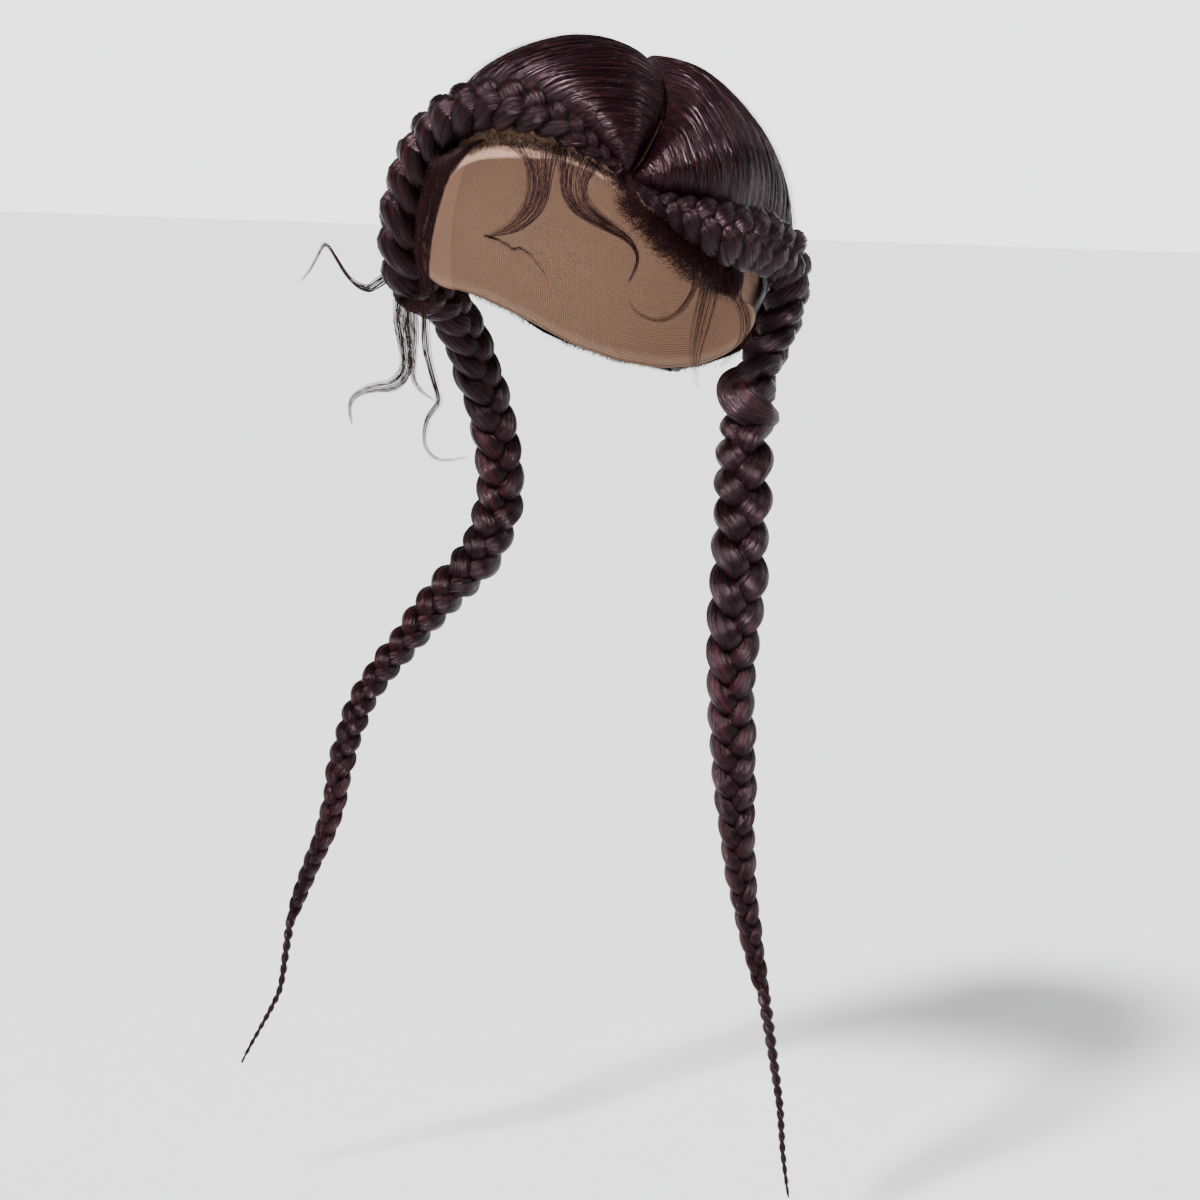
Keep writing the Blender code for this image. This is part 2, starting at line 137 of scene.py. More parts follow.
# Curls that lie on the lace: name, hairs, radius, lift of each rail, and the two rails of turn, drop.
LACE_CURLS = (
    ("right_curl", 110, 0.12, 1.3, 1.3,
     ((-3.7, 53.3), (3.6, 57.9), (6.9, 62.8), (7.4, 68.5), (4.4, 73.1), (-1.5, 77), (-8, 79.5)),
     ((15.5, 52.9), (15.4, 58.4), (15.5, 64.2), (15.4, 69.7), (12.7, 74.8), (6.1, 79.2), (-5, 80.5))),
    ("left_curl", 110, 0.12, 1.3, 1.3,
     ((17.9, 54.7), (18.4, 61.3), (19.4, 67.5), (22.8, 72.4), (28.7, 75.9), (35.2, 78.6), (41.6, 81.6),
      (44.2, 85.1), (43.1, 88.5), (41.2, 91.3)),
     ((34.5, 57.8), (30, 62.3), (28.3, 66.4), (29.4, 70), (33.3, 73.5), (38.8, 76.8), (43.3, 80.1),
      (45.2, 84.1), (44.4, 88), (42.2, 91.6))),
    ("right_temple_sheet", 330, 0.13, 11, 3,
     ((-38, 58), (-34.5, 62.1), (-35.1, 68.8), (-35.5, 75.7), (-35.5, 83.1), (-34.8, 90), (-32.8, 96.7)),
     ((-22, 53), (-28, 57), (-32, 64), (-32.2, 72.9), (-31.6, 80.9), (-30.5, 88.3), (-29.5, 94.5))),
    ("hook", 14, 0.12, 1.3, 1.3,
     ((-8, 79.5), (-3, 80.2), (1.6, 81.2), (3.7, 82.7), (6.3, 82.2), (10.6, 84), (14, 87), (17, 90)),
     ((-6, 80.3), (-2, 81), (1, 82.2), (4, 83.6), (6.8, 83.2), (10, 85), (13, 88), (16, 91.5))),
    ("left_temple_curl", 22, 0.12, 1.3, 1.3,
     ((60, 82), (63.1, 87.1), (64.1, 92.5), (61.2, 97.4), (56.3, 100.7), (50.3, 101.3),
      (44.7, 99.1), (42.2, 96.4)),
     ((64, 83), (66, 88), (66.4, 93.5), (63, 98.8), (57.3, 102.4), (50.6, 103),
      (44, 100.4), (41.6, 96.8))),
)

# Free locks between two rails of x, y, z.
FREE_LOCKS = (
    ("right_flick", 60, 0.11,
     ((-100, -22, -104), (-109, -22, -110), (-115, -20, -113), (-121, -20, -111), (-127, -20, -106),
      (-132, -20, -99), (-138, -20, -92), (-142, -20, -96), (-147, -20, -104), (-153, -20, -111)),
     ((-98, -20, -108), (-108, -20, -114), (-115, -19, -116), (-122, -19, -113), (-128, -19, -107),
      (-133, -19, -100), (-138, -19, -94), (-141, -19, -98), (-146, -19, -106), (-152, -19, -113))),
    ("right_bunch", 150, 0.09,
     ((-97, -24, -108), (-94, -28, -121), (-93, -30, -130), (-91, -30, -140), (-90, -30, -150),
      (-96, -30, -157), (-109, -30, -160), (-118, -30, -165), (-121, -30, -171), (-120, -30, -179)),
     ((-88, -24, -108), (-86, -28, -121), (-85, -30, -130), (-84, -30, -141), (-84, -30, -153),
      (-92, -30, -163), (-106, -30, -165), (-115, -30, -168), (-118, -30, -173), (-117, -30, -182))),
    ("right_bunch_inner", 80, 0.09,
     ((-86, -28, -110), (-84, -34, -122), (-83, -35, -134), (-83, -35, -147), (-82, -35, -157),
      (-77, -35, -163), (-70, -35, -166)),
     ((-80, -28, -110), (-78, -34, -122), (-77, -35, -134), (-78, -35, -147), (-78, -35, -155),
      (-74, -35, -161), (-68, -35, -165))),
    ("right_jaw_curl", 44, 0.12,
     ((-72, -40, -118), (-70, -44, -138), (-67, -45, -147), (-64, -45, -157), (-62, -45, -165),
      (-67, -45, -170), (-70, -45, -178), (-70, -45, -187), (-65, -45, -193),
      (-57, -45, -194), (-46, -45, -192)),
     ((-68, -42, -118), (-66, -44, -138), (-64, -45, -147), (-61, -45, -157), (-59, -45, -166),
      (-64, -45, -172), (-67, -45, -179), (-67, -45, -186), (-63, -45, -191),
      (-56, -45, -192), (-46, -45, -190))),
    ("left_sideburn", 46, 0.10,
     ((75, -30, -88), (73, -32, -98), (71, -32, -110), (68, -32, -122), (65, -31, -135), (65, -30, -146),
      (67, -30, -157)),
     ((81, -24, -92), (78, -24, -103), (76, -24, -114), (73, -24, -126), (70, -24, -137), (69, -24, -146),
      (70, -24, -152))),
    ("left_ear_loop", 30, 0.11,
     ((84, -16, -100), (84, -14, -109), (88, -12, -117), (89, -12, -127), (85, -12, -137), (78, -12, -143),
      (72, -10, -146)),
     ((79, -18, -100), (79, -14, -109), (83, -12, -118), (84, -12, -127), (81, -12, -134), (76, -12, -140),
      (71, -10, -144))),
)

# Bundle that sweeps over the start of the left hanging plait: x, y, z, half width, half thickness.
SWEPT_BUNDLE = (
    (88, 0, -147, 2.5, 2), (84, -9, -149, 5.5, 4), (83, -16, -153, 8, 5), (87, -20.5, -157.5, 9, 5.5),
    (93, -21, -162, 8.5, 5.5), (98, -16, -165.5, 7, 4.5), (100, -8, -168, 4, 2.5),
)


class Side(Enum):
    """Side of the wig as worn, with its sign along X."""

    LEFT = 1
    RIGHT = -1

    @property
    def word(self) -> str:
        """Word that begins the names of the side's pieces."""
        return self.name.lower()


# Edge hairs of each side: first and last millimetre of the plait, then rows of
# count, spread of the roots, length, slant, how far the tips stand off and radius.
EDGE_HAIRS = {
    Side.RIGHT: (2, 215, ((6400, -0.5, 4.8, 0.5, 0.8, 0.09), (1000, 1.0, 10.0, 0.8, 1.5, 0.065))),
    Side.LEFT: (1, 96, ((6000, 1.0, 7.0, 0.6, 0.9, 0.095), (3400, 7.0, 12.0, 1.1, 2.4, 0.095))),
}


def unit(vectors: ndarray) -> ndarray:
    """Vectors of the last axis, scaled to length one."""
    return vectors / np.maximum(np.linalg.norm(vectors, axis=-1, keepdims=True), 1e-12)


def form_depth(in_front: ndarray) -> ndarray:
    """Depth of the form, before its middle where the mask is true and behind it elsewhere."""
    return np.where(in_front, FRONT_DEPTH, BACK_DEPTH)


def form_points(turn: ndarray, drop: ndarray, lift: ndarray | float) -> ndarray:
    """Points over the form.

    Args:
        turn: turns in degrees.
        drop: drops in degrees.
        lift: heights over the form in millimetres.

    Returns:
        Points in metres.
    """
    turn, drop = np.radians(turn), np.radians(drop)
    across = np.sin(drop)
    x = (HALF_WIDTH + lift) * across * np.sin(turn)
    y = -(form_depth(np.cos(turn) > 0) + lift) * across * np.cos(turn)
    z = lift - (HEIGHT + lift) * (1 - np.cos(drop))
    return np.stack(np.broadcast_arrays(x, y, z), -1) * MM


def form_ways(turn: ndarray, drop: ndarray) -> ndarray:
    """Unit vectors that stand for turns and drops in degrees."""
    turn, drop = np.radians(turn), np.radians(drop)
    return np.stack((np.sin(drop) * np.sin(turn), -np.sin(drop) * np.cos(turn), np.cos(drop)), -1)


def turns_and_drops(ways: ndarray) -> tuple[ndarray, ndarray]:
    """Turns and drops in degrees that unit vectors stand for."""
    drop = np.degrees(np.arccos(np.clip(ways[..., 2], -1, 1)))
    return np.degrees(np.arctan2(ways[..., 0], -ways[..., 1])), drop


def ways_to(places: ndarray) -> ndarray:
    """Unit vectors that stand for places in millimetres."""
    depth = form_depth(places[..., 1] < 0)
    scaled = (places[..., 0] / HALF_WIDTH, places[..., 1] / depth, (places[..., 2] + HEIGHT) / HEIGHT)
    return unit(np.stack(scaled, -1))


def form_outward(turn: float, drop: float) -> ndarray:
    """Outward unit normal of the form at a turn and a drop in degrees."""
    depth = form_depth(np.cos(np.radians(turn)) > 0)
    return unit(form_ways(turn, drop) / np.array((HALF_WIDTH, depth, HEIGHT)))


def smooth_table(rows: ndarray, fineness: int = 40) -> ndarray:
    """Catmull-Rom read of equally spaced rows.

    Args:
        rows: table with one row for each station.
        fineness: rows made for each row of the table.

    Returns:
        The finer table.
    """
    rows = np.asarray(rows, float)
    last = len(rows) - 1
    at = np.linspace(0, last, last * fineness + 1)
    index = np.minimum(at.astype(int), last - 1)
    share = (at - index)[:, None]
    before, start = rows[np.maximum(index - 1, 0)], rows[index]
    end, after = rows[index + 1], rows[np.minimum(index + 2, last)]
    square = 2 * before - 5 * start + 4 * end - after
    cube = 3 * (start - end) + after - before
    return start + 0.5 * share * (end - before + share * (square + share * cube))


def even_rows(rows: ndarray, shares: ndarray) -> ndarray:
    """Rows read at shares of the length that their first three columns travel.

    Args:
        rows: table whose first three columns are a place.
        shares: shares of the whole length, from 0 to 1.

    Returns:
        A table with one row for each share.
    """
    steps = np.linalg.norm(np.diff(rows[:, :3], axis=0), axis=1)
    travelled = np.concatenate(([0.0], np.cumsum(steps)))
    wanted = np.asarray(shares) * travelled[-1]
    return np.stack([np.interp(wanted, travelled, column) for column in rows.T], -1)


def even_route(table: ndarray, stops: int) -> ndarray:
    """Evenly spaced rows along the smoothed table."""
    return even_rows(smooth_table(table), np.linspace(0, 1, stops))


def eased(share: ndarray) -> ndarray:
    """Shares from 0 to 1 with a soft start and end."""
    return share * share * (3 - 2 * share)


def slow_noise(rng: Generator, count: int, step: float, width: int = 1) -> ndarray:
    """Smooth random values along a line.

    Args:
        rng: source of random numbers.
        count: values along the line.
        step: values between two random knots.
        width: separate lines.

    Returns:
        Array of count by width, about -1 to 1.
    """
    knots = rng.uniform(-1, 1, (int(count / step) + 3, width))
    at = np.arange(count) / step
    index = at.astype(int)
    share = eased((at - index)[:, None])
    return knots[index] * (1 - share) + knots[index + 1] * share


def rib_pattern(rng: Generator, rows: int, columns: int, coarse: int, run: float) -> ndarray:
    """Ridges that run along the rows, as clumps of hair do, and change slowly on the way.

    Args:
        rng: source of random numbers.
        rows: rows along the hair.
        columns: columns across the hair; the pattern closes on itself.
        coarse: columns in a wide clump.
        run: rows after which the ridges have changed.

    Returns:
        Array of rows by columns, about -1 to 1.
    """
    fine = slow_noise(rng, rows, run, columns)
    clumps = max(3, columns // coarse)
    wide = slow_noise(rng, rows, run, clumps)
    at = np.arange(columns) * clumps / columns
    index = at.astype(int)
    share = eased(at - index)
    wide = wide[:, index % clumps] * (1 - share) + wide[:, (index + 1) % clumps] * share
    return 0.45 * fine + 0.7 * wide


def ribbed_tube(rng: Generator, middle: ndarray, wide: ndarray, thin: ndarray,
                sections: int, ridge: float, run: float) -> ndarray:
    """Surface of a lock of hair round a line.

    Args:
        rng: source of random numbers.
        middle: points of the line in millimetres.
        wide: half of the lock's width at each point, as vectors.
        thin: half of its thickness at each point, as vectors.
        sections: points round the lock.
        ridge: height of the ridges as a share of the lock.
        run: points after which the ridges have changed.

    Returns:
        Points as stops by sections by 3, in metres.
    """
    round_way = np.linspace(0, 2 * math.pi, sections, endpoint=False)[None, :, None]
    ribs = 1 + ridge * rib_pattern(rng, len(middle), sections, 4, run)[:, :, None]
    reach = wide[:, None] * np.cos(round_way) + thin[:, None] * np.sin(round_way)
    return (middle[:, None] + reach * ribs) * MM


def pointed(line: ndarray, blunt: float = 0.03) -> ndarray:
    """Thickness of a hair from its root at 0 to its pointed tip at 1."""
    return np.sqrt(1 + blunt - line)


def spindle(line: ndarray, thinning: float) -> ndarray:
    """Thickness of a hair that gets thin towards both ends."""
    return 1 - thinning * np.abs(2 * line - 1) ** 3


@dataclass
class Surface:
    """Grid of points with its normals, for hairs to lie on."""

    grid: ndarray
    closed: bool = True

    def __post_init__(self) -> None:
        """Work out the normals, along rows crossed with columns."""
        grid = self.grid
        across = np.roll(grid, -1, 1) - np.roll(grid, 1, 1) if self.closed else np.gradient(grid, axis=1)
        self.normals = unit(np.cross(across, np.gradient(grid, axis=0)))

    def read(self, values: ndarray, rows: ndarray, columns: ndarray) -> ndarray:
        """Values of the grid's size at fractional rows and columns.

        Args:
            values: rows by columns by 3.
            rows: fractional rows.
            columns: fractional columns.

        Returns:
            Values between the grid's own.
        """
        height, width = values.shape[:2]
        rows = np.clip(rows, 0, height - LAST_INSIDE)
        columns = columns % width if self.closed else np.clip(columns, 0, width - LAST_INSIDE)
        row, column = rows.astype(int), columns.astype(int)
        down, over = (rows - row)[..., None], (columns - column)[..., None]
        beside = (column + 1) % width
        near = values[row, column] * (1 - over) + values[row, beside] * over
        far = values[row + 1, column] * (1 - over) + values[row + 1, beside] * over
        return near * (1 - down) + far * down

    def over(self, rows: ndarray, columns: ndarray,
             lift: ndarray) -> tuple[ndarray, ndarray]:
        """Paths of hairs over the surface.

        Args:
            rows: fractional rows, as hairs by points.
            columns: fractional columns.
            lift: heights over the surface in millimetres.

        Returns:
            The paths in metres, and the ways that the surface faces under them.
        """
        facing = self.read(self.normals, rows, columns)
        return self.read(self.grid, rows, columns) + facing * lift[..., None] * MM, facing


@dataclass
class Weft:
    """Collects grids and thin hairs, and makes one mesh piece of them.

    The last five fields place single hairs in the fibre pattern: step from hair to hair and where it starts
    again, width of a hair, length between two of its points, and number of shifts along.
    """

    points: list[ndarray] = field(default_factory=list)
    faces: list[ndarray] = field(default_factory=list)
    coords: list[ndarray] = field(default_factory=list)
    count: int = 0
    hair_step: float = 7.31
    hair_wrap: float = 97.0
    hair_width: float = 0.05
    stop_length: float = 3.0
    shifts: int = 13

    @staticmethod
    def quads(down: ndarray, over: ndarray) -> tuple[ndarray, ndarray]:
        """Corners of quads at the given rows and columns."""
        corners = (down, down, down + 1, down + 1), (over, over + 1, over + 1, over)
        return np.stack(corners[0], -1), np.stack(corners[1], -1)

    def grid(self, points: ndarray, closed: bool, across: float, along: float,
             flip: bool = False) -> None:
        """Add a grid of points.

        Args:
            points: rows by columns by 3, in metres.
            closed: whether the last column meets the first.
            across: texture length of the columns in millimetres.
            along: texture length of the rows in millimetres.
            flip: whether the faces are turned over.
        """
        rows, columns = points.shape[:2]
        spans = columns if closed else columns - 1
        row, column = (a.ravel() for a in np.meshgrid(np.arange(rows - 1), np.arange(spans), indexing="ij"))
        down, over = self.quads(row, column)
        if flip:
            down, over = down[:, ::-1], over[:, ::-1]
        self.faces.append(self.count + down * columns + over % columns)
        self.coords.append(np.stack((over * across / spans, down * along / (rows - 1)), -1))
        self.points.append(points.reshape(-1, 3))
        self.count += rows * columns

    def hairs(self, paths: ndarray, radii: ndarray, facing: ndarray | None = None) -> None:
        """Add thin hairs, three-sided where they stand free and flat ribbons where they lie on something.

        Args:
            paths: hairs by points by 3, in metres.
            radii: hairs by points in metres, or what spreads to that.
            facing: ways that flat ribbons face, or None for three-sided hairs.
        """
        hairs, length = paths.shape[:2]
        radii = np.broadcast_to(radii, (hairs, length))
        along = unit(np.gradient(paths, axis=1))
        corners, spans = (3, 3) if facing is None else (2, 1)
        side = unit(np.cross(along, FREE_GUIDE if facing is None else facing))
        out = np.cross(side, along)
        angle = np.linspace(0, 2 * math.pi, corners, endpoint=False)
        round_way = side[:, :, None] * np.cos(angle)[:, None] + out[:, :, None] * np.sin(angle)[:, None]
        ring = paths[:, :, None] + round_way * radii[:, :, None, None]
        hair, stop, face = (a.ravel() for a in np.meshgrid(
            np.arange(hairs), np.arange(length - 1), np.arange(spans), indexing="ij"))
        down, over = self.quads(stop, face)
        hair = hair[:, None]
        self.faces.append(self.count + (hair * length + down) * corners + over % corners)
        place = (hair * self.hair_step) % self.hair_wrap + over * self.hair_width
        self.coords.append(np.stack((place, down * self.stop_length + hair % self.shifts), -1))
        self.points.append(ring.reshape(-1, 3))
        self.count += hairs * length * corners

    def piece(self, name: str, material: Material, slot: str, *nodes: str) -> None:
        """Make the piece and let it ride on the wig.

        Args:
            name: name of the piece.
            material: its finish.
            slot: not used.
            nodes: CAD nodes that it stands for.
        """
        points, faces = np.concatenate(self.points), np.concatenate(self.faces)
        coords = np.concatenate(self.coords).reshape(-1, 2)
        mesh = bpy.data.meshes.new(name)
        mesh.vertices.add(len(points))
        mesh.vertices.foreach_set("co", points.astype(np.float32).ravel())
        mesh.loops.add(faces.size)
        mesh.loops.foreach_set("vertex_index", faces.astype(np.int32).ravel())
        mesh.polygons.add(len(faces))
        mesh.polygons.foreach_set("loop_start", np.arange(0, faces.size, 4, dtype=np.int32))
        mesh.update(calc_edges=True)
        mesh.validate()
        mesh.uv_layers.new(name=UV_NAME).data.foreach_set("uv", coords.astype(np.float32).ravel())
        mesh.shade_smooth()
        mesh.materials.append(material)
        made = put_object(name, mesh)
        if nodes:
            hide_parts(*nodes)
        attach(made, BODY)
        LOG.info("%s: %d triangles", name, 2 * len(faces))


def put_object(name: str, data: bpy.types.ID) -> bpy.types.Object:
    """Object of the data, linked to the scene."""
    made = bpy.data.objects.new(name, data)
    bpy.context.scene.collection.objects.link(made)
    return made


class Signal:
    """A shader socket that takes part in sums."""

    def __init__(self, paint: "Paint", socket: bpy.types.NodeSocket) -> None:
        """Wrap an output socket of the paint's node tree."""
        self.paint, self.socket = paint, socket

    def math(self, operation: str, *values: "Signal | float") -> "Signal":
        """Result of a Math node with the operation on the values."""
        return self.paint.node("ShaderNodeMath", {"operation": operation}, dict(enumerate(values)))

    def __add__(self, other: "Signal | float") -> "Signal":
        """Sum."""
        return self.math("ADD", self, other)

    def __radd__(self, other: float) -> "Signal":
        """Sum with a number first."""
        return self.math("ADD", other, self)

    def __rsub__(self, other: float) -> "Signal":
        """Difference with a number first."""
        return self.math("SUBTRACT", other, self)

    def __mul__(self, other: "Signal | float") -> "Signal":
        """Product."""
        return self.math("MULTIPLY", self, other)

    def rise(self, low: float, high: float) -> "Signal":
        """Smooth step from 0 at the low value to 1 at the high one."""
        values = {"Value": self, "From Min": low, "From Max": high}
        return self.paint.node("ShaderNodeMapRange", {"interpolation_type": "SMOOTHSTEP"}, values)


class Paint:
    """One material's node tree, built by expressions."""

    def __init__(self, name: str) -> None:
        """Start a material of this name with its shader."""
        self.material = bpy.data.materials.new(name)
        self.material.use_nodes = True
        self.nodes = self.material.node_tree.nodes
        self.links = self.material.node_tree.links
        self.shader = self.nodes["Principled BSDF"]

    def join(self, socket: bpy.types.NodeSocket, value: "Signal | float | tuple") -> None:
        """Set or link an input.

        Args:
            socket: input socket.
            value: number, tuple or link.
        """
        if isinstance(value, Signal):
            self.links.new(value.socket, socket)
        else:
            socket.default_value = value

    def node(self, kind: str, settings: dict, values: dict, output: int | str = 0) -> Signal:
        """Add a node.

        Args:
            kind: type of the node.
            settings: properties, set first.
            values: value or link of each named or numbered input.
            output: output to give back.

        Returns:
            The chosen output.
        """
        made = self.nodes.new(kind)
        for key, value in settings.items():
            setattr(made, key, value)
        for key, value in values.items():
            self.join(made.inputs[key], value)
        return Signal(self, made.outputs[output])

    def uv(self, across: float, along: float) -> Signal:
        """Fibre coordinates with their own repeats in a millimetre across and along the fibres."""
        values = {0: self.node("ShaderNodeUVMap", {"uv_map": UV_NAME}, {}), 1: (across, along, 1.0)}
        return self.node("ShaderNodeVectorMath", {"operation": "MULTIPLY"}, values)

    def noise(self, place: Signal, detail: float, rough: float = 0.5, scale: float = 1.0) -> Signal:
        """Noise value from 0 to 1 of so many octaves, the finer ones by the rough share."""
        values = {"Vector": place, "Scale": scale, "Detail": detail, "Roughness": rough}
        return self.node("ShaderNodeTexNoise", {"noise_dimensions": "3D"}, values)

    def cells(self, across: float, along: float, feature: str, uneven: float) -> Signal:
        """Distance in a flat pattern of so many cells in a millimetre across and along the fibres."""
        values = {"Vector": self.uv(across, along), "Scale": 1.0, "Randomness": uneven}
        return self.node("ShaderNodeTexVoronoi", {"feature": feature, "voronoi_dimensions": "2D"}, values)

    def mix(self, share: "Signal | float", low: "Signal | tuple", high: "Signal | tuple") -> Signal:
        """Colour between the low one, at a share of 0, and the high one, at 1."""
        values = {"Factor": share, 6: self.opaque(low), 7: self.opaque(high)}
        return self.node("ShaderNodeMix", {"data_type": "RGBA"}, values, 2)

    @staticmethod
    def opaque(colour: "Signal | tuple") -> "Signal | tuple":
        """Colour with alpha, or the link as it is."""
        return colour if isinstance(colour, Signal) else (*colour[:3], 1.0)

    def bump(self, height: Signal, distance: float) -> Signal:
        """Normal from a height, of which one stands up by the distance in metres."""
        return self.node("ShaderNodeBump", {}, {"Height": height, "Distance": distance, "Strength": 1.0})

    def dress(self, values: dict) -> Material:
        """Set the shader's inputs.

        Args:
            values: value or link of each input.

        Returns:
            The finished material.
        """
        for key, value in values.items():
            self.join(self.shader.inputs[key], value)
        return self.material


@dataclass(frozen=True)
class HairFinish:
    """Satin braiding fibre, dark with wine streaks along its length, and mauve streaks of painted highlight
    that stand in for its sheen.
    """

    name: str = "hair"
    dark: tuple = (0.0009, 0.0002, 0.0004)
    burgundy: tuple = (0.0085, 0.0014, 0.0030)
    wine: tuple = (0.040, 0.0032, 0.0098)
    # Painted highlight: the mauve colour of the satin sheen, laid into streaks of the base colour.
    highlight_mauve: tuple = (0.058, 0.024, 0.033)
    tint: tuple = (1.0, 0.64, 0.75, 1.0)
    clump_repeats: tuple = (0.13, 0.008)
    strand_repeats: tuple = (0.42, 0.016)
    hair_repeats: tuple = (1.5, 0.03)
    wine_share: float = 0.65
    # Share of the fibres that carry the painted mauve highlight streaks.
    highlight_mauve_share: float = 0.45
    roughness: float = 0.17
    relief: float = 0.0024
    ior: float = 1.28

    def material(self) -> Material:
        """The finish as a Blender material."""
        paint = Paint(self.name)
        clumps = paint.noise(paint.uv(*self.clump_repeats), 2.0, 0.6)
        strands = paint.noise(paint.uv(*self.strand_repeats), 4.0, 0.72)
        hairs = paint.noise(paint.uv(*self.hair_repeats), 3.0, 0.7)
        lit = (strands * 0.6 + hairs * 0.4).rise(0.38, 0.60)
        red = (clumps * 0.6 + strands * 0.4).rise(0.50, 0.66) * self.wine_share
        # Painted highlight: mauve streaks along the fibres, mixed into the base colour below, stand in for
        # the satin sheen.
        painted_highlight = (strands * 0.5 + hairs * 0.5).rise(0.53, 0.68) * self.highlight_mauve_share
        shade = paint.mix(red, paint.mix(lit, self.dark, self.burgundy), self.wine)
        return paint.dress({
            "Base Color": paint.mix(painted_highlight, shade, self.highlight_mauve),
            "Roughness": self.roughness + strands * 0.18 + hairs * 0.12,
            "IOR": self.ior,
            "Specular IOR Level": 0.5,
            "Specular Tint": self.tint,
            "Normal": paint.bump(strands * 0.55 + hairs * 0.45, self.relief),
        })


@dataclass(frozen=True)
class LaceFinish:
    """Fine tan net with six-sided holes and the tiny knots of the hair that is tied to it."""

    name: str = "lace"
    thread: tuple = (0.42, 0.255, 0.175)
    hole: tuple = (0.32, 0.178, 0.117)
    cloud: tuple = (0.46, 0.25, 0.17)
    knot: tuple = (0.16, 0.07, 0.045)
    pitch: float = 0.85
    relief: float = 0.00022

    def material(self) -> Material:
        """The finish as a Blender material."""
        paint = Paint(self.name)
        cell = paint.cells(1 / self.pitch, 1 / self.pitch, "DISTANCE_TO_EDGE", 0.25)
        thread = 1 - cell.rise(0.05, 0.22)
        clouds = paint.noise(paint.uv(0.03, 0.03), 3.0).rise(0.35, 0.7) * 0.25
        knots = paint.noise(paint.uv(1.6, 1.6), 0.0).rise(0.72, 0.80) * 0.45
        tone = paint.mix(clouds, paint.mix(thread, self.hole, self.thread), self.cloud)
        return paint.dress({
            "Base Color": paint.mix(knots, tone, self.knot),
            "Roughness": 0.72 - thread * 0.12,
            "Specular IOR Level": 0.3,
            "Normal": paint.bump(thread, self.relief),
        })


@dataclass(frozen=True)
class KnitFinish:
    """Brown elastic knit of the cap's back, in fine ribs of loops."""

    name: str = "cap_knit"
    yarn: tuple = (0.38, 0.235, 0.160)
    gap: tuple = (0.235, 0.135, 0.088)
    rib: float = 1.1
    relief: float = 0.0003

    def material(self) -> Material:
        """The finish as a Blender material."""
        paint = Paint(self.name)
        loop = 1 - paint.cells(1 / self.rib, 1.4 / self.rib, "F1", 0.12).rise(0.1, 0.62)
        fuzz = paint.noise(paint.uv(3.0, 3.0), 3.0)
        return paint.dress({
            "Base Color": paint.mix(loop * (0.6 + fuzz * 0.5), self.gap, self.yarn),
            "Roughness": 0.95 - loop * 0.2,
            "Specular IOR Level": 0.35,
            "Normal": paint.bump(loop + fuzz * 0.3, self.relief),
        })


@dataclass
class Cap:
    """Lace front and knitted back, each a thin walled sheet in the cap's form."""

    lace_wall: float = 1.0
    rings: int = 34
    columns: int = 130
    seam: float = 0.15
    top: float = 0.015
    soften: float = 7.0

    def half(self, wall: float, turns: ndarray, shift: float) -> Weft:
        """Make the mesh of one half of the cap.

        Args:
            wall: thickness in millimetres.
            turns: turns of the columns in degrees.
            shift: move along Y in millimetres.

        Returns:
            The half, not yet a piece.
        """
        rim_turns, rim_drops = np.array(CAP_RIM, float).T
        soft = np.linspace(-self.soften, self.soften, 15)
        near = np.abs((turns[:, None] + soft + 180) % 360 - 180)
        edge = np.interp(near, rim_turns, rim_drops).mean(-1)
        drop = np.linspace(self.top, 1, self.rings)[:, None] * edge
        share, past = np.array(HEM).T
        walls = wall * np.concatenate((np.ones(self.rings), share))[:, None]
        outer = form_points(turns, np.concatenate((drop, edge + past[:, None])), walls)
        inner = form_points(turns, drop[::-1], 0.0)
        weft = Weft()
        weft.grid(np.concatenate((outer, inner)) + np.array((0, shift * MM, 0)), False, *CAP_TEXTURE)
        return weft

    def build(self, lace: Material, knit: Material) -> None:
        """Make both halves.

        Args:
            lace: finish of the front.
            knit: finish of the back.
        """
        front = self.half(self.lace_wall, np.linspace(-90, 90, self.columns), -self.seam)
        back = self.half(CAP_WALL, np.linspace(90, 270, self.columns), self.seam)
        front.piece("lace_front_net", lace, "lace", "lace_front")
        back.piece("wig_cap_knit", knit, "cap_knit", "wig_cap")


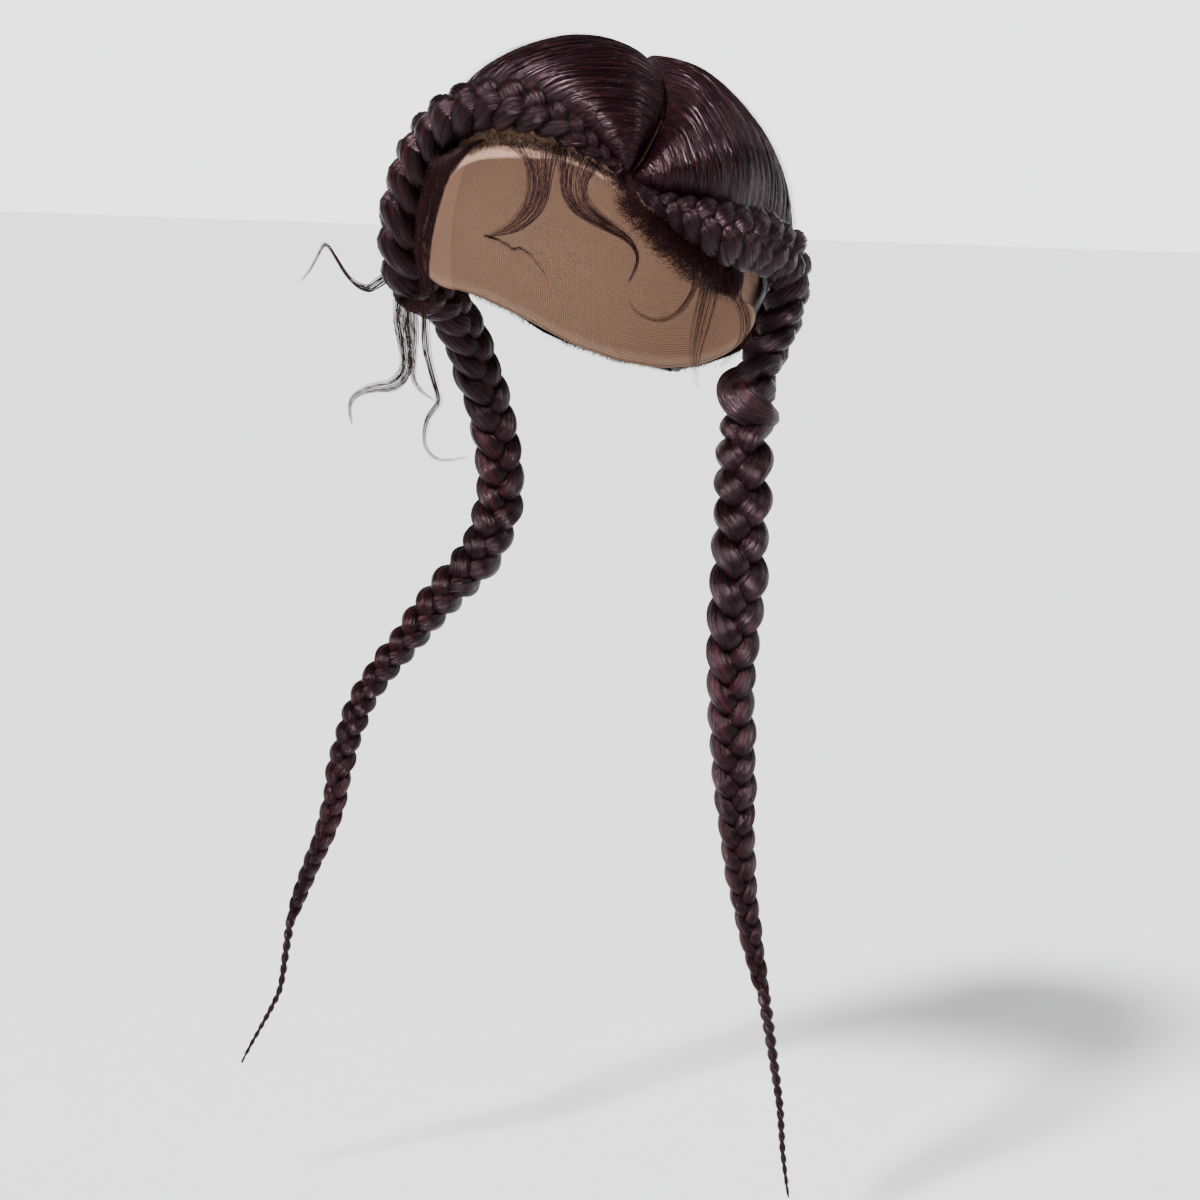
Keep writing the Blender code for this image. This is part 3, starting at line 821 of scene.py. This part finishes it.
@dataclass
class Plait:
    """Three-strand plait along a route, with plump strands, fine ridges and stray hairs.

    The kinds of stray hair are rows of count, span in stops, lift of the tip and radius.
    """

    side: Side
    crown: tuple
    hanging: tuple
    hair: Material
    sections: int = 40
    turn_step: float = 12.0
    sway: float = 0.50
    weave_lift: float = 0.50
    broad: float = 0.50
    tall: float = 0.53
    ridge: float = 0.13
    ridge_run: float = 26.0
    end_turn: float = 150.0
    end_width: float = 0.55
    strand_length: float = 1.3
    stray_kinds: tuple = ((1100, 22, 0.7, 0.20), (520, 11, 3.6, 0.075))
    seed: int = 3

    def __post_init__(self) -> None:
        """Read the route at every millimetre."""
        rows = []
        for turn, drop, half_width, pitch in self.crown:
            place = form_points(turn, drop, CAP_WALL + BRAID_CAP_GAP + FLATNESS * half_width) / MM
            rows.append([*place, *form_outward(turn, drop), half_width, pitch])
        for x, y, z, half_width, pitch, face in self.hanging:
            face = math.radians(face)
            rows.append([x, y, z, math.sin(face), -math.cos(face), 0.0, half_width, pitch])
        fine = smooth_table(rows)
        self.length = float(np.linalg.norm(np.diff(fine[:, :3], axis=0), axis=1).sum())
        self.steps = int(self.length)
        self.rows = even_rows(fine, np.arange(self.steps + 1) / self.length)
        self.phases = np.concatenate(([0.0], np.cumsum(LOBE_TURN / self.rows[1:, 7])))

    def read(self, at: ndarray) -> ndarray:
        """Rows of the route at fractional steps of a millimetre."""
        line = np.arange(self.steps + 1)
        return np.stack([np.interp(at, line, column) for column in self.rows.T], -1)

    def frame(self, at: ndarray) -> tuple[ndarray, ndarray, ndarray, ndarray]:
        """Centre, side, outward way and half width at steps along the route.

        Args:
            at: fractional steps of a millimetre.

        Returns:
            Centre in millimetres, side, outward way, half width in millimetres.
        """
        rows = self.read(at)
        along = unit((self.read(at + 3) - self.read(at - 3))[:, :3])
        out = unit(rows[:, 3:6])
        out = unit(out - along * (out * along).sum(-1, keepdims=True))
        return rows[:, :3], np.cross(along, out), out, rows[:, 6]

    def strand(self, lead: float, rng: Generator) -> ndarray:
        """Grid of one strand's surface.

        Args:
            lead: weave angle that the strand is ahead.
            rng: source of random numbers.

        Returns:
            Points as stops by sections by 3, in metres.
        """
        phase = np.arange(0.0, self.phases[-1], self.turn_step)
        centre, side, out, half = self.frame(np.interp(phase, self.phases, np.arange(len(self.phases))))
        half = half[:, None]
        angle = np.radians(phase + lead)[:, None]
        sway = self.sway * np.sin(angle) * (1 + 0.05 * slow_noise(rng, len(phase), 9))
        lift = self.weave_lift * (np.sin(2 * angle) + 0.15 * np.sin(4 * angle)) * FLATNESS
        middle = centre + side * half * sway + out * half * lift
        along = unit(np.gradient(middle, axis=0))
        wide = unit(np.cross(along, out))
        thin = np.cross(wide, along)
        to_end = np.clip((self.phases[-1] - phase) / self.end_turn, 0.0, 1.0)[:, None]
        taper = self.end_width + (1 - self.end_width) * to_end
        swell = (1 + 0.06 * slow_noise(rng, len(phase), 7)) * taper
        pinch = (0.86 + 0.14 * np.abs(np.sin(angle))) * swell
        wide = wide * (self.broad * half * pinch)
        thin = thin * (self.tall * FLATNESS * half * swell)
        return ribbed_tube(rng, middle, wide, thin, self.sections, self.ridge, self.ridge_run)

    def build(self) -> None:
        """Make the three strands and the stray hairs over them."""
        rng = np.random.default_rng(self.seed)
        stray = Weft()
        for number in range(3):
            surface = Surface(self.strand(LOBE_TURN * number, rng))
            weft = Weft()
            weft.grid(surface.grid, True, GIRTH_TEXTURE, self.strand_length * self.length)
            name = f"{self.side.word}_braid_strand_{number + 1}"
            weft.piece(f"{name}_hair", self.hair, "hair", name)
            self.strays(stray, surface, rng)
        stray.piece(f"{self.side.word}_braid_stray_hairs", self.hair, "hair")

    def strays(self, weft: Weft, surface: Surface, rng: Generator) -> None:
        """Add hairs that lie on a strand, and shorter ones that stand off it.

        Args:
            weft: collects the hairs.
            surface: the strand's surface.
            rng: source of random numbers.
        """
        stops = len(surface.grid)
        line = np.linspace(0, 1, 8)
        for count, span, tip, thick in self.stray_kinds:
            start = rng.uniform(2, stops - 6, count)[:, None]
            rows = start + span * rng.uniform(0.5, 1.1, count)[:, None] * line
            column = rng.uniform(0, self.sections, count)[:, None]
            columns = column + rng.normal(0, 1.6, count)[:, None] * line
            lift = 0.05 + tip * rng.uniform(0.15, 1, count)[:, None] * line ** 2
            paths, facing = surface.over(rows, columns, lift)
            radii = thick * MM * spindle(line, 0.75) * rng.uniform(0.6, 1.3, count)[:, None]
            weft.hairs(paths, radii, facing + rng.normal(0, 0.22, (count, 1, 3)))


@dataclass
class Tail:
    """Thin twisted end of a plait, which runs out in a pointed wisp."""

    side: Side
    route: tuple
    hair: Material
    sections: int = 20
    stops: int = 150
    apart: float = 0.42
    thickness: float = 0.60
    ridge: float = 0.10
    ridge_run: float = 30.0
    texture: float = 12.0
    hairs: int = 70
    seed: int = 11

    def build(self) -> None:
        """Make the twist."""
        rng = np.random.default_rng(self.seed)
        route = even_route(self.route, self.stops)
        centre, half = route[:, :3], route[:, 3:4]
        travelled = np.concatenate(([0.0], np.cumsum(np.linalg.norm(np.diff(centre, axis=0), axis=1))))
        turned = np.concatenate(([0.0], np.cumsum(np.pi * np.diff(travelled) / route[1:, 4])))[:, None]
        along = unit(np.gradient(centre, axis=0))
        side = unit(np.cross(along, (0.0, 1.0, 0.0)))
        out = np.cross(side, along)
        thick = half * self.thickness
        line = np.linspace(0, 1, 10)
        weft = Weft()
        for lead in (0.0, math.pi):
            swing = turned + lead
            middle = centre + (side * np.cos(swing) + out * np.sin(swing)) * half * self.apart
            surface = Surface(ribbed_tube(rng, middle, side * thick, out * thick, self.sections,
                                          self.ridge, self.ridge_run))
            weft.grid(surface.grid, True, self.texture, travelled[-1])
            start = rng.uniform(0, self.stops - 20, self.hairs)[:, None]
            rows = start + rng.uniform(10, 34, self.hairs)[:, None] * line
            columns = rng.uniform(0, self.sections, self.hairs)[:, None] + 0 * line
            lift = 0.05 + rng.uniform(0.2, 2.0, self.hairs)[:, None] * line ** 2
            weft.hairs(surface.over(rows, columns, lift)[0], 0.07 * MM)
        weft.piece(f"{self.side.word}_tail_twist_hair", self.hair, "hair", f"{self.side.word}_tail_twist")


def quarter_round(share: ndarray) -> ndarray:
    """Quarter circle that climbs from 0 at 0 to 1 at 1 and stays there."""
    share = np.minimum(1, share)
    return np.sqrt(share * (2 - share))


@dataclass
class CrownHair:
    """Combed hair of one side, from the parting to the crown plait and down to the nape.

    The kinds of stray hair are rows of count, lift of the tip and radius.
    """

    plait: Plait
    hair: Material
    columns: int = 420
    rows: int = 48
    part_gap: float = 1.0
    part_lift: float = 1.3
    front_columns: float = 34.0
    crown_lift: float = 10.5
    side_swell: float = 8.0
    shoulder_lift: float = 5.0
    edge_lift: float = 5.0
    least_lift: float = 1.35
    plait_end: float = 12.0
    tuck: float = 0.68
    locks: int = 46
    lock_depth: float = 1.5
    texture: tuple = (150.0, 420.0)
    ridge: float = 0.38
    stray_kinds: tuple = ((2600, 0.45, 0.19), (420, 3.4, 0.07), (160, 8.0, 0.055))
    seed: int = 21

    def edge_ways(self) -> ndarray:
        """Ways to the edge beside the crown plait, as far as it lies on the cap, then along the nape.

        Returns:
            Chain of unit vectors.
        """
        plait, sign = self.plait, self.plait.side.value
        last = int(np.argmax(plait.rows[:, 1] > self.plait_end))
        centre, side, out, half = plait.frame(np.arange(0, last + 1, 2.0))
        inner = centre - out * (FLATNESS * half)[:, None] - side * (sign * self.tuck * half)[:, None]
        edge = ways_to(inner)
        turn, drop = np.array(NAPE_EDGE, float).T
        nape = np.concatenate((edge[-1:], form_ways(sign * turn, drop)))
        return np.concatenate((edge, unit(smooth_table(nape))[1:]))

    def even_ways(self, ways: ndarray) -> ndarray:
        """Ways at equal spacing over the form.

        Args:
            ways: chain of unit vectors.

        Returns:
            One unit vector for each column.
        """
        turn, drop = turns_and_drops(ways)
        rows = np.concatenate((form_points(turn, drop, 2.5), ways), 1)
        return unit(even_rows(rows, np.linspace(0, 1, self.columns))[:, 3:])

    def body(self, over: ndarray, drop: ndarray) -> ndarray:
        """Height of the hair over the form, without its locks.

        Args:
            over: shares of the way from the parting to the edge.
            drop: drops in degrees.

        Returns:
            Heights in millimetres.
        """
        swell = self.crown_lift + self.side_swell * np.sin(np.radians(np.minimum(drop, 90))) ** 2
        rise = np.sin(math.pi / 2 * np.minimum(1, over / 0.35))
        body = self.shoulder_lift + (swell - self.shoulder_lift) * rise
        fall = np.maximum(0, (over - 0.6) / 0.4)
        body = body + (self.edge_lift - body) * fall * fall
        return self.part_lift + (body - self.part_lift) * quarter_round(over / 0.045)

    def sheet(self, rng: Generator) -> ndarray:
        """Grid of the hair's outside.

        Args:
            rng: source of random numbers.

        Returns:
            Points as rows from the parting to the edge, by columns, by 3, in metres.
        """
        start = self.even_ways(unit(smooth_table(form_ways(*np.array(PARTING, float).T))))
        end = self.even_ways(self.edge_ways())
        away = unit(np.cross(start, np.gradient(start, axis=0))) * -self.plait.side.value
        start = unit(start + away * self.part_gap / 2 / HALF_WIDTH)
        over = np.linspace(0, 1, self.rows)[:, None] ** 1.25
        arc = np.arccos(np.clip((start * end).sum(-1), -1, 1))[None, :, None]
        share = over[..., None]
        ways = unit((np.sin((1 - share) * arc) * start + np.sin(share * arc) * end) / np.sin(arc))
        turn, drop = turns_and_drops(ways)
        deep = self.lock_depth * np.sin(math.pi * np.minimum(1, over * 1.02)) ** 0.7
        widths = rng.uniform(0.5, 1.5, self.locks)
        bounds = np.concatenate(([0], np.cumsum(widths))) / widths.sum() * self.columns
        column = np.arange(self.columns)
        lock = np.searchsorted(bounds, column, side="right") - 1
        within = (column - bounds[lock]) / (bounds[lock + 1] - bounds[lock])
        groove = (1 - np.sin(math.pi * within)) ** 1.6 * rng.uniform(0.4, 1.0, self.locks)[lock]
        ribs = self.ridge * np.minimum(1, over / 0.08) * rib_pattern(rng, self.rows, self.columns, 7, 22)
        lift = self.body(over, drop) - deep * groove + ribs
        lift = self.part_lift + (lift - self.part_lift) * quarter_round(column / self.front_columns)
        return form_points(turn, drop, np.maximum(lift, self.least_lift))

    def build(self) -> None:
        """Make the sheet and the hairs that lie on it."""
        rng = np.random.default_rng(self.seed)
        side = self.plait.side
        surface = Surface(self.sheet(rng), closed=False)
        outward = (surface.normals * (surface.grid - FORM_CENTRE)).sum(-1, keepdims=True)
        surface.normals = surface.normals * np.sign(outward)
        weft = Weft()
        weft.grid(np.swapaxes(surface.grid, 0, 1), False, *self.texture, flip=side is Side.LEFT)
        # The fibres run across this grid's rows, so the two coordinates change places.
        weft.coords[0] = weft.coords[0][..., ::-1]
        line = np.linspace(0, 1, 10)
        for count, tip, thick in self.stray_kinds:
            start = rng.uniform(0.5, self.rows * 0.6, count)
            reach = rng.uniform(0.35, 0.9, count) * (self.rows - 1 - start)
            rows = start[:, None] + reach[:, None] * line
            column = rng.uniform(1, self.columns - 2, count)[:, None]
            columns = column + rng.normal(0, 3.0, count)[:, None] * line
            lift = 0.06 + tip * rng.uniform(0.1, 1, count)[:, None] * line ** 1.5
            paths, facing = surface.over(rows, columns, lift)
            radii = thick * MM * spindle(line, 0.7) * rng.uniform(0.6, 1.3, count)[:, None]
            weft.hairs(paths, radii, facing + rng.normal(0, 0.3, (count, 1, 3)))
        weft.piece(f"crown_hair_{side.word}_combed", self.hair, "hair", f"crown_hair_{side.word}")


@dataclass
class EdgeHair:
    """Short fine hairs along the front edge of a crown plait, knotted to the lace."""

    plait: Plait
    hair: Material
    first: float
    last: float
    rows: tuple
    root_lift: float = 0.9
    seed: int = 31

    def build(self) -> None:
        """Make the hairs."""
        rng = np.random.default_rng(self.seed)
        sign = self.plait.side.value
        weft = Weft()
        line = np.linspace(0, 1, 5)
        for count, spread, reach, slant, stand, thick in self.rows:
            centre, side, out, half = self.plait.frame(rng.uniform(self.first, self.last, count))
            along = np.cross(out, side)
            start = centre - out * (FLATNESS * half * 0.9)[:, None]
            spot = 0.25 * half + (0.8 * half + spread) * rng.uniform(0, 1, count) ** 0.8
            start = start + side * (sign * spot)[:, None]
            travel = reach * rng.uniform(0.35, 1.0, count)[:, None] * line
            turned = rng.normal(0, 0.35, count)[:, None]
            curl = rng.normal(0, 0.5, count)[:, None]
            swing = turned * line + curl * line ** 2 + slant * line
            places = start[:, None] + side[:, None] * (sign * travel * np.cos(swing))[..., None]
            places = places + along[:, None] * (-travel * np.sin(swing))[..., None]
            lift = self.root_lift + stand * rng.uniform(0.1, 1, count)[:, None] * line
            paths = form_points(*turns_and_drops(ways_to(places)), lift)
            radii = thick * MM * pointed(line, 0.02) * rng.uniform(0.7, 1.2, count)[:, None]
            weft.hairs(paths, radii, paths - FORM_CENTRE)
        weft.piece(f"{self.plait.side.word}_edge_hairs", self.hair, "hair")


@dataclass
class PartingRoots:
    """Short roots at the front end of the parting and along both of its sides."""

    hair: Material
    corner: tuple = (43.6, 64.2)
    corner_hairs: int = 1500
    side_hairs: int = 900
    root_lift: float = 0.9
    seed: int = 61

    def build(self) -> None:
        """Make the roots."""
        rng = np.random.default_rng(self.seed)
        line = np.linspace(0, 1, 6)
        weft = Weft()
        count = self.corner_hairs
        bearing = rng.uniform(-2.4, 2.4, count)[:, None]
        turn = self.corner[0] + rng.normal(0, 2.2, count)[:, None] + 3.2 * np.sin(bearing) * line
        drop = self.corner[1] + rng.normal(0, 1.3, count)[:, None] + 2.4 * np.cos(bearing) * line
        paths = form_points(turn, drop, self.root_lift + 1.2 * line)
        weft.hairs(paths, 0.09 * MM * pointed(line, 0.04), paths - FORM_CENTRE)
        count = self.side_hairs
        parting = smooth_table(form_ways(*np.array(PARTING, float).T))
        roots = unit(even_rows(parting, rng.uniform(0, 0.5, count)))
        away = unit(np.cross(roots, np.roll(roots, 1, 1))) * rng.choice((-1.0, 1.0), count)[:, None]
        ways = unit(roots[:, None] + away[:, None] * ((0.25 + 3.4 * line)[None, :, None] / HALF_WIDTH))
        paths = form_points(*turns_and_drops(ways), self.root_lift + 2.6 * np.sqrt(line))
        weft.hairs(paths, 0.07 * MM, paths - FORM_CENTRE)
        weft.piece("parting_roots", self.hair, "hair")


@dataclass
class NapeHair:
    """Ends of the combed hair that hang over the rim of the cap at its back."""

    side: Side
    hair: Material
    hairs: int = 2800
    first_turn: float = 101.0
    last_turn: float = 181.0
    seed: int = 71

    def build(self) -> None:
        """Make the ends."""
        rng = np.random.default_rng(self.seed)
        turn = rng.uniform(self.first_turn, self.last_turn, self.hairs)
        top = np.interp(turn, *np.array(NAPE_EDGE, float).T) - rng.uniform(1, 6, self.hairs)
        foot = np.interp(turn, *np.array(CAP_RIM, float).T) + rng.uniform(-1.5, 0.8, self.hairs)
        line = np.linspace(0, 1, 5)
        drop = top[:, None] + (foot - top)[:, None] * line
        turn = turn[:, None] + rng.normal(-1.0, 1.3, self.hairs)[:, None] * line
        lift = (5.2 - 2.9 * line ** 1.3) * rng.uniform(0.85, 1.15, self.hairs)[:, None]
        paths = form_points(self.side.value * turn, drop, lift)
        radii = 0.20 * MM * pointed(line) * rng.uniform(0.6, 1.2, self.hairs)[:, None]
        weft = Weft()
        weft.hairs(paths, radii, paths - FORM_CENTRE)
        weft.piece(f"{self.side.word}_nape_hairs", self.hair, "hair")


@dataclass
class LooseHair:
    """Curls laid on the lace and free locks at both sides, each fanned between two rails."""

    hair: Material
    stops: int = 26
    root_lift: float = 1.3
    tip_rise: float = 1.2
    seed: int = 41

    def fan(self, left: ndarray, right: ndarray, hairs: int, thick: float,
            rng: Generator) -> Weft:
        """Make the hairs of one lock.

        Args:
            left: points of the first rail in metres.
            right: points of the second rail in metres.
            hairs: hairs in the lock.
            thick: radius of a hair in millimetres.
            rng: source of random numbers.

        Returns:
            The hairs, not yet a piece.
        """
        line = np.linspace(0, 1, self.stops)
        first, second = even_route(left, self.stops), even_route(right, self.stops)
        gather = rng.beta(0.8, 0.8, hairs)[:, None]
        wander = 0.16 * slow_noise(rng, self.stops, 12, hairs).T
        share = np.clip(gather + wander, -0.25, 1.25)[..., None]
        share = 0.5 + (share - 0.5) * (1 - 0.7 * line[None, :, None] ** 2)
        paths = first[None] * (1 - share) + second[None] * share
        paths = paths + rng.normal(0, 0.35 * MM, (hairs, 1, 3))
        ends = rng.uniform(0.55, 1.0, hairs)
        ends[: hairs // 3] = 1.0
        index = line[None] * ends[:, None] * (self.stops - 1)
        low = np.minimum(index.astype(int), self.stops - 2)
        part = (index - low)[..., None]
        rows = np.arange(hairs)[:, None]
        paths = paths[rows, low] * (1 - part) + paths[rows, low + 1] * part
        weft = Weft()
        weft.hairs(paths, thick * MM * pointed(line) * rng.uniform(0.6, 1.2, hairs)[:, None])
        return weft

    def rail(self, points: tuple, lift: float) -> ndarray:
        """Rail of a curl on the lace.

        Args:
            points: turns and drops.
            lift: height that the rail has after its root, in millimetres.

        Returns:
            Points in metres.
        """
        turn, drop = np.array(points, float).T
        lift = lift + self.tip_rise * np.linspace(0, 1, len(turn))
        return form_points(turn, drop, np.minimum(lift, self.root_lift + lift * np.arange(len(turn))))

    def build(self) -> None:
        """Make the curls and the locks."""
        rng = np.random.default_rng(self.seed)
        for name, hairs, thick, left_lift, right_lift, left, right in LACE_CURLS:
            weft = self.fan(self.rail(left, left_lift), self.rail(right, right_lift), hairs, thick, rng)
            weft.piece(f"{name}_hairs", self.hair, "hair")
        for name, hairs, thick, left, right in FREE_LOCKS:
            weft = self.fan(np.array(left) * MM, np.array(right) * MM, hairs, thick, rng)
            weft.piece(f"{name}_hairs", self.hair, "hair")


@dataclass
class SweptBundle:
    """Smooth bundle that wraps the start of the left hanging plait.

    The kinds of stray hair are rows of count, lift of the tip and radius.
    """

    hair: Material
    stops: int = 60
    sections: int = 40
    ridge: float = 0.16
    ridge_run: float = 24.0
    texture: float = 60.0
    toward: tuple = (0.45, -0.85, 0.25)
    stray_kinds: tuple = ((420, 0.8, 0.19), (120, 4.0, 0.08))
    seed: int = 51

    def build(self) -> None:
        """Make the bundle and the hairs on it."""
        rng = np.random.default_rng(self.seed)
        route = even_route(SWEPT_BUNDLE, self.stops)
        along = unit(np.gradient(route[:, :3], axis=0))
        wide = unit(np.cross(along, self.toward))
        thin = np.cross(wide, along) * route[:, 4:5]
        wide = wide * route[:, 3:4]
        surface = Surface(ribbed_tube(rng, route[:, :3], wide, thin, self.sections,
                                      self.ridge, self.ridge_run))
        weft = Weft()
        weft.grid(surface.grid, True, GIRTH_TEXTURE, self.texture)
        line = np.linspace(0, 1, 12)
        for count, tip, thick in self.stray_kinds:
            start = rng.uniform(0, self.stops * 0.6, count)[:, None]
            rows = start + rng.uniform(14, 30, count)[:, None] * line
            column = rng.uniform(0, self.sections, count)[:, None]
            columns = column + rng.normal(0, 1.5, count)[:, None] * line
            lift = 0.05 + tip * rng.uniform(0.1, 1, count)[:, None] * line ** 2
            paths, facing = surface.over(rows, columns, lift)
            weft.hairs(paths, thick * MM * pointed(line), facing)
        weft.piece("left_swept_bundle", self.hair, "hair")


@dataclass
class Stage:
    """Pale floor, glowing surround, lamps and camera, in metres and degrees.

    A ramp of the surround is axis, start, end and the values there. A sun is name, place that it shines
    from, strength, width and whether it lights matt finishes.
    """

    floor_size: float = 6.0
    floor_level: float = -0.56
    floor_tones: tuple = ((0.66, 0.665, 0.675), (0.69, 0.695, 0.705))
    floor_glow: float = 0.32
    sky: tuple = (0.97, 0.98, 1.0, 1.0)
    sky_least: float = 0.22
    ramps: tuple = (("Z", 0.03, 0.20, 1.0, 0.0), ("Y", 0.05, 0.65, 0.25, 2.7))
    suns: tuple = (
        ("sun_key", (-0.30, -0.85, 1.25), 9.0, 9, True),
        ("sun_gloss", (0.05, -0.95, 0.75), 11.0, 6, False),
        ("sun_rim", (0.9, 0.7, 0.9), 1.3, 20, True),
    )
    fill_place: tuple = (0.9, -1.6, 0.25)
    fill_aim: tuple = (0.0, 0.0, -0.18)
    fill_size: float = 0.5
    fill_power: float = 10.0
    target: tuple = (0.004, 0.0, -0.2646)
    camera_turn: float = 26.0
    camera_distance: float = 1.6
    camera_height: float = 0.03
    sensor: float = 36.0
    pixels_per_metre: float = 2030.0
    picture_pixels: float = 1200.0

    def floor(self) -> None:
        """Make the floor."""
        size, low = self.floor_size, self.floor_level
        mesh = bpy.data.meshes.new("pale_floor")
        corners = ((-size, -size, low), (size, -size, low), (size, size, low), (-size, size, low))
        mesh.from_pydata(corners, [], [(0, 1, 2, 3)])
        paint = Paint("floor")
        speck = paint.noise(paint.node("ShaderNodeTexCoord", {}, {}, "Object"), 3.0, scale=30.0)
        mesh.materials.append(paint.dress({
            "Base Color": paint.mix(speck, *self.floor_tones),
            "Roughness": 0.8,
            "Emission Color": (1.0, 1.0, 1.0, 1.0),
            "Emission Strength": self.floor_glow,
        }))
        made = put_object("pale_floor", mesh)

    def surround(self) -> None:
        """Make the world, which glows low down and behind the wig."""
        world = bpy.data.worlds.new("studio")
        world.use_nodes = True
        nodes, links = world.node_tree.nodes, world.node_tree.links
        way, split = nodes.new("ShaderNodeTexCoord"), nodes.new("ShaderNodeSeparateXYZ")
        links.new(way.outputs["Generated"], split.inputs["Vector"])
        glow = nodes.new("ShaderNodeMath")
        glow.operation = "MULTIPLY_ADD"
        glow.inputs[2].default_value = self.sky_least
        for number, (axis, *stops) in enumerate(self.ramps):
            ramp = nodes.new("ShaderNodeMapRange")
            links.new(split.outputs[axis], ramp.inputs["Value"])
            for key, value in zip(("From Min", "From Max", "To Min", "To Max"), stops):
                ramp.inputs[key].default_value = value
            links.new(ramp.outputs["Result"], glow.inputs[number])
        links.new(glow.outputs["Value"], nodes["Background"].inputs["Strength"])
        nodes["Background"].inputs["Color"].default_value = self.sky
        bpy.context.scene.world = world

    def lamps(self) -> None:
        """Make the suns and the soft fill."""
        for name, place, power, angle, matt in self.suns:
            sun = bpy.data.lights.new(name, "SUN")
            sun.energy, sun.angle = power, math.radians(angle)
            holder = put_object(name, sun)
            holder.visible_diffuse = matt
            self.aim(holder, -Vector(place))
        fill = bpy.data.lights.new("fill", "AREA")
        fill.size, fill.energy = self.fill_size, self.fill_power
        holder = put_object("fill", fill)
        holder.location = self.fill_place
        self.aim(holder, Vector(self.fill_aim) - Vector(self.fill_place))

    def camera(self) -> None:
        """Make the camera at the photograph's place."""
        target, turn = Vector(self.target), math.radians(self.camera_turn)
        x = target.x + self.camera_distance * math.sin(turn)
        place = Vector((x, -self.camera_distance * math.cos(turn), self.camera_height))
        lens = bpy.data.cameras.new("camera")
        lens.sensor_width = self.sensor
        lens.lens = self.sensor * self.pixels_per_metre * (target - place).length / self.picture_pixels
        holder = put_object("camera", lens)
        holder.location = place
        self.aim(holder, target - place)
        bpy.context.scene.camera = holder

    @staticmethod
    def aim(holder: bpy.types.Object, way: Vector) -> None:
        """Turn a lamp or the camera to look along the way."""
        holder.rotation_euler = way.to_track_quat("-Z", "Y").to_euler()

    def build(self) -> None:
        """Make all of the stage."""
        self.floor()
        self.surround()
        self.lamps()
        self.camera()


def main() -> None:
    """Build the wig and its stage."""
    logging.basicConfig(level=logging.INFO)
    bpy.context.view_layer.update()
    Stage().build()
    # The mauve colours and shares given here set each finish's painted highlight streaks.
    hair = HairFinish().material()
    woven = HairFinish("plait_hair", burgundy=(0.0055, 0.0010, 0.0020), wine=(0.030, 0.0026, 0.0078),
                       highlight_mauve=(0.045, 0.018, 0.024), roughness=0.14, relief=0.0020, ior=1.27).material()
    fine = HairFinish("edge_hair", dark=(0.0030, 0.0009, 0.0008), burgundy=(0.014, 0.0045, 0.0040),
                      highlight_mauve=(0.110, 0.050, 0.046), highlight_mauve_share=0.6, roughness=0.32, relief=0.0006,
                      ior=1.2).material()
    Cap().build(LaceFinish().material(), KnitFinish().material())
    for side, crown, hanging, tail in (
        (Side.RIGHT, RIGHT_CROWN, RIGHT_HANGING, RIGHT_TAIL),
        (Side.LEFT, LEFT_CROWN, LEFT_HANGING, LEFT_TAIL),
    ):
        plait = Plait(side, crown, hanging, woven)
        plait.build()
        Tail(side, tail, woven).build()
        CrownHair(plait, hair).build()
        EdgeHair(plait, fine, *EDGE_HAIRS[side]).build()
        NapeHair(side, hair).build()
    LooseHair(fine).build()
    SweptBundle(woven).build()
    PartingRoots(fine).build()


if __name__ == "__main__":
    main()
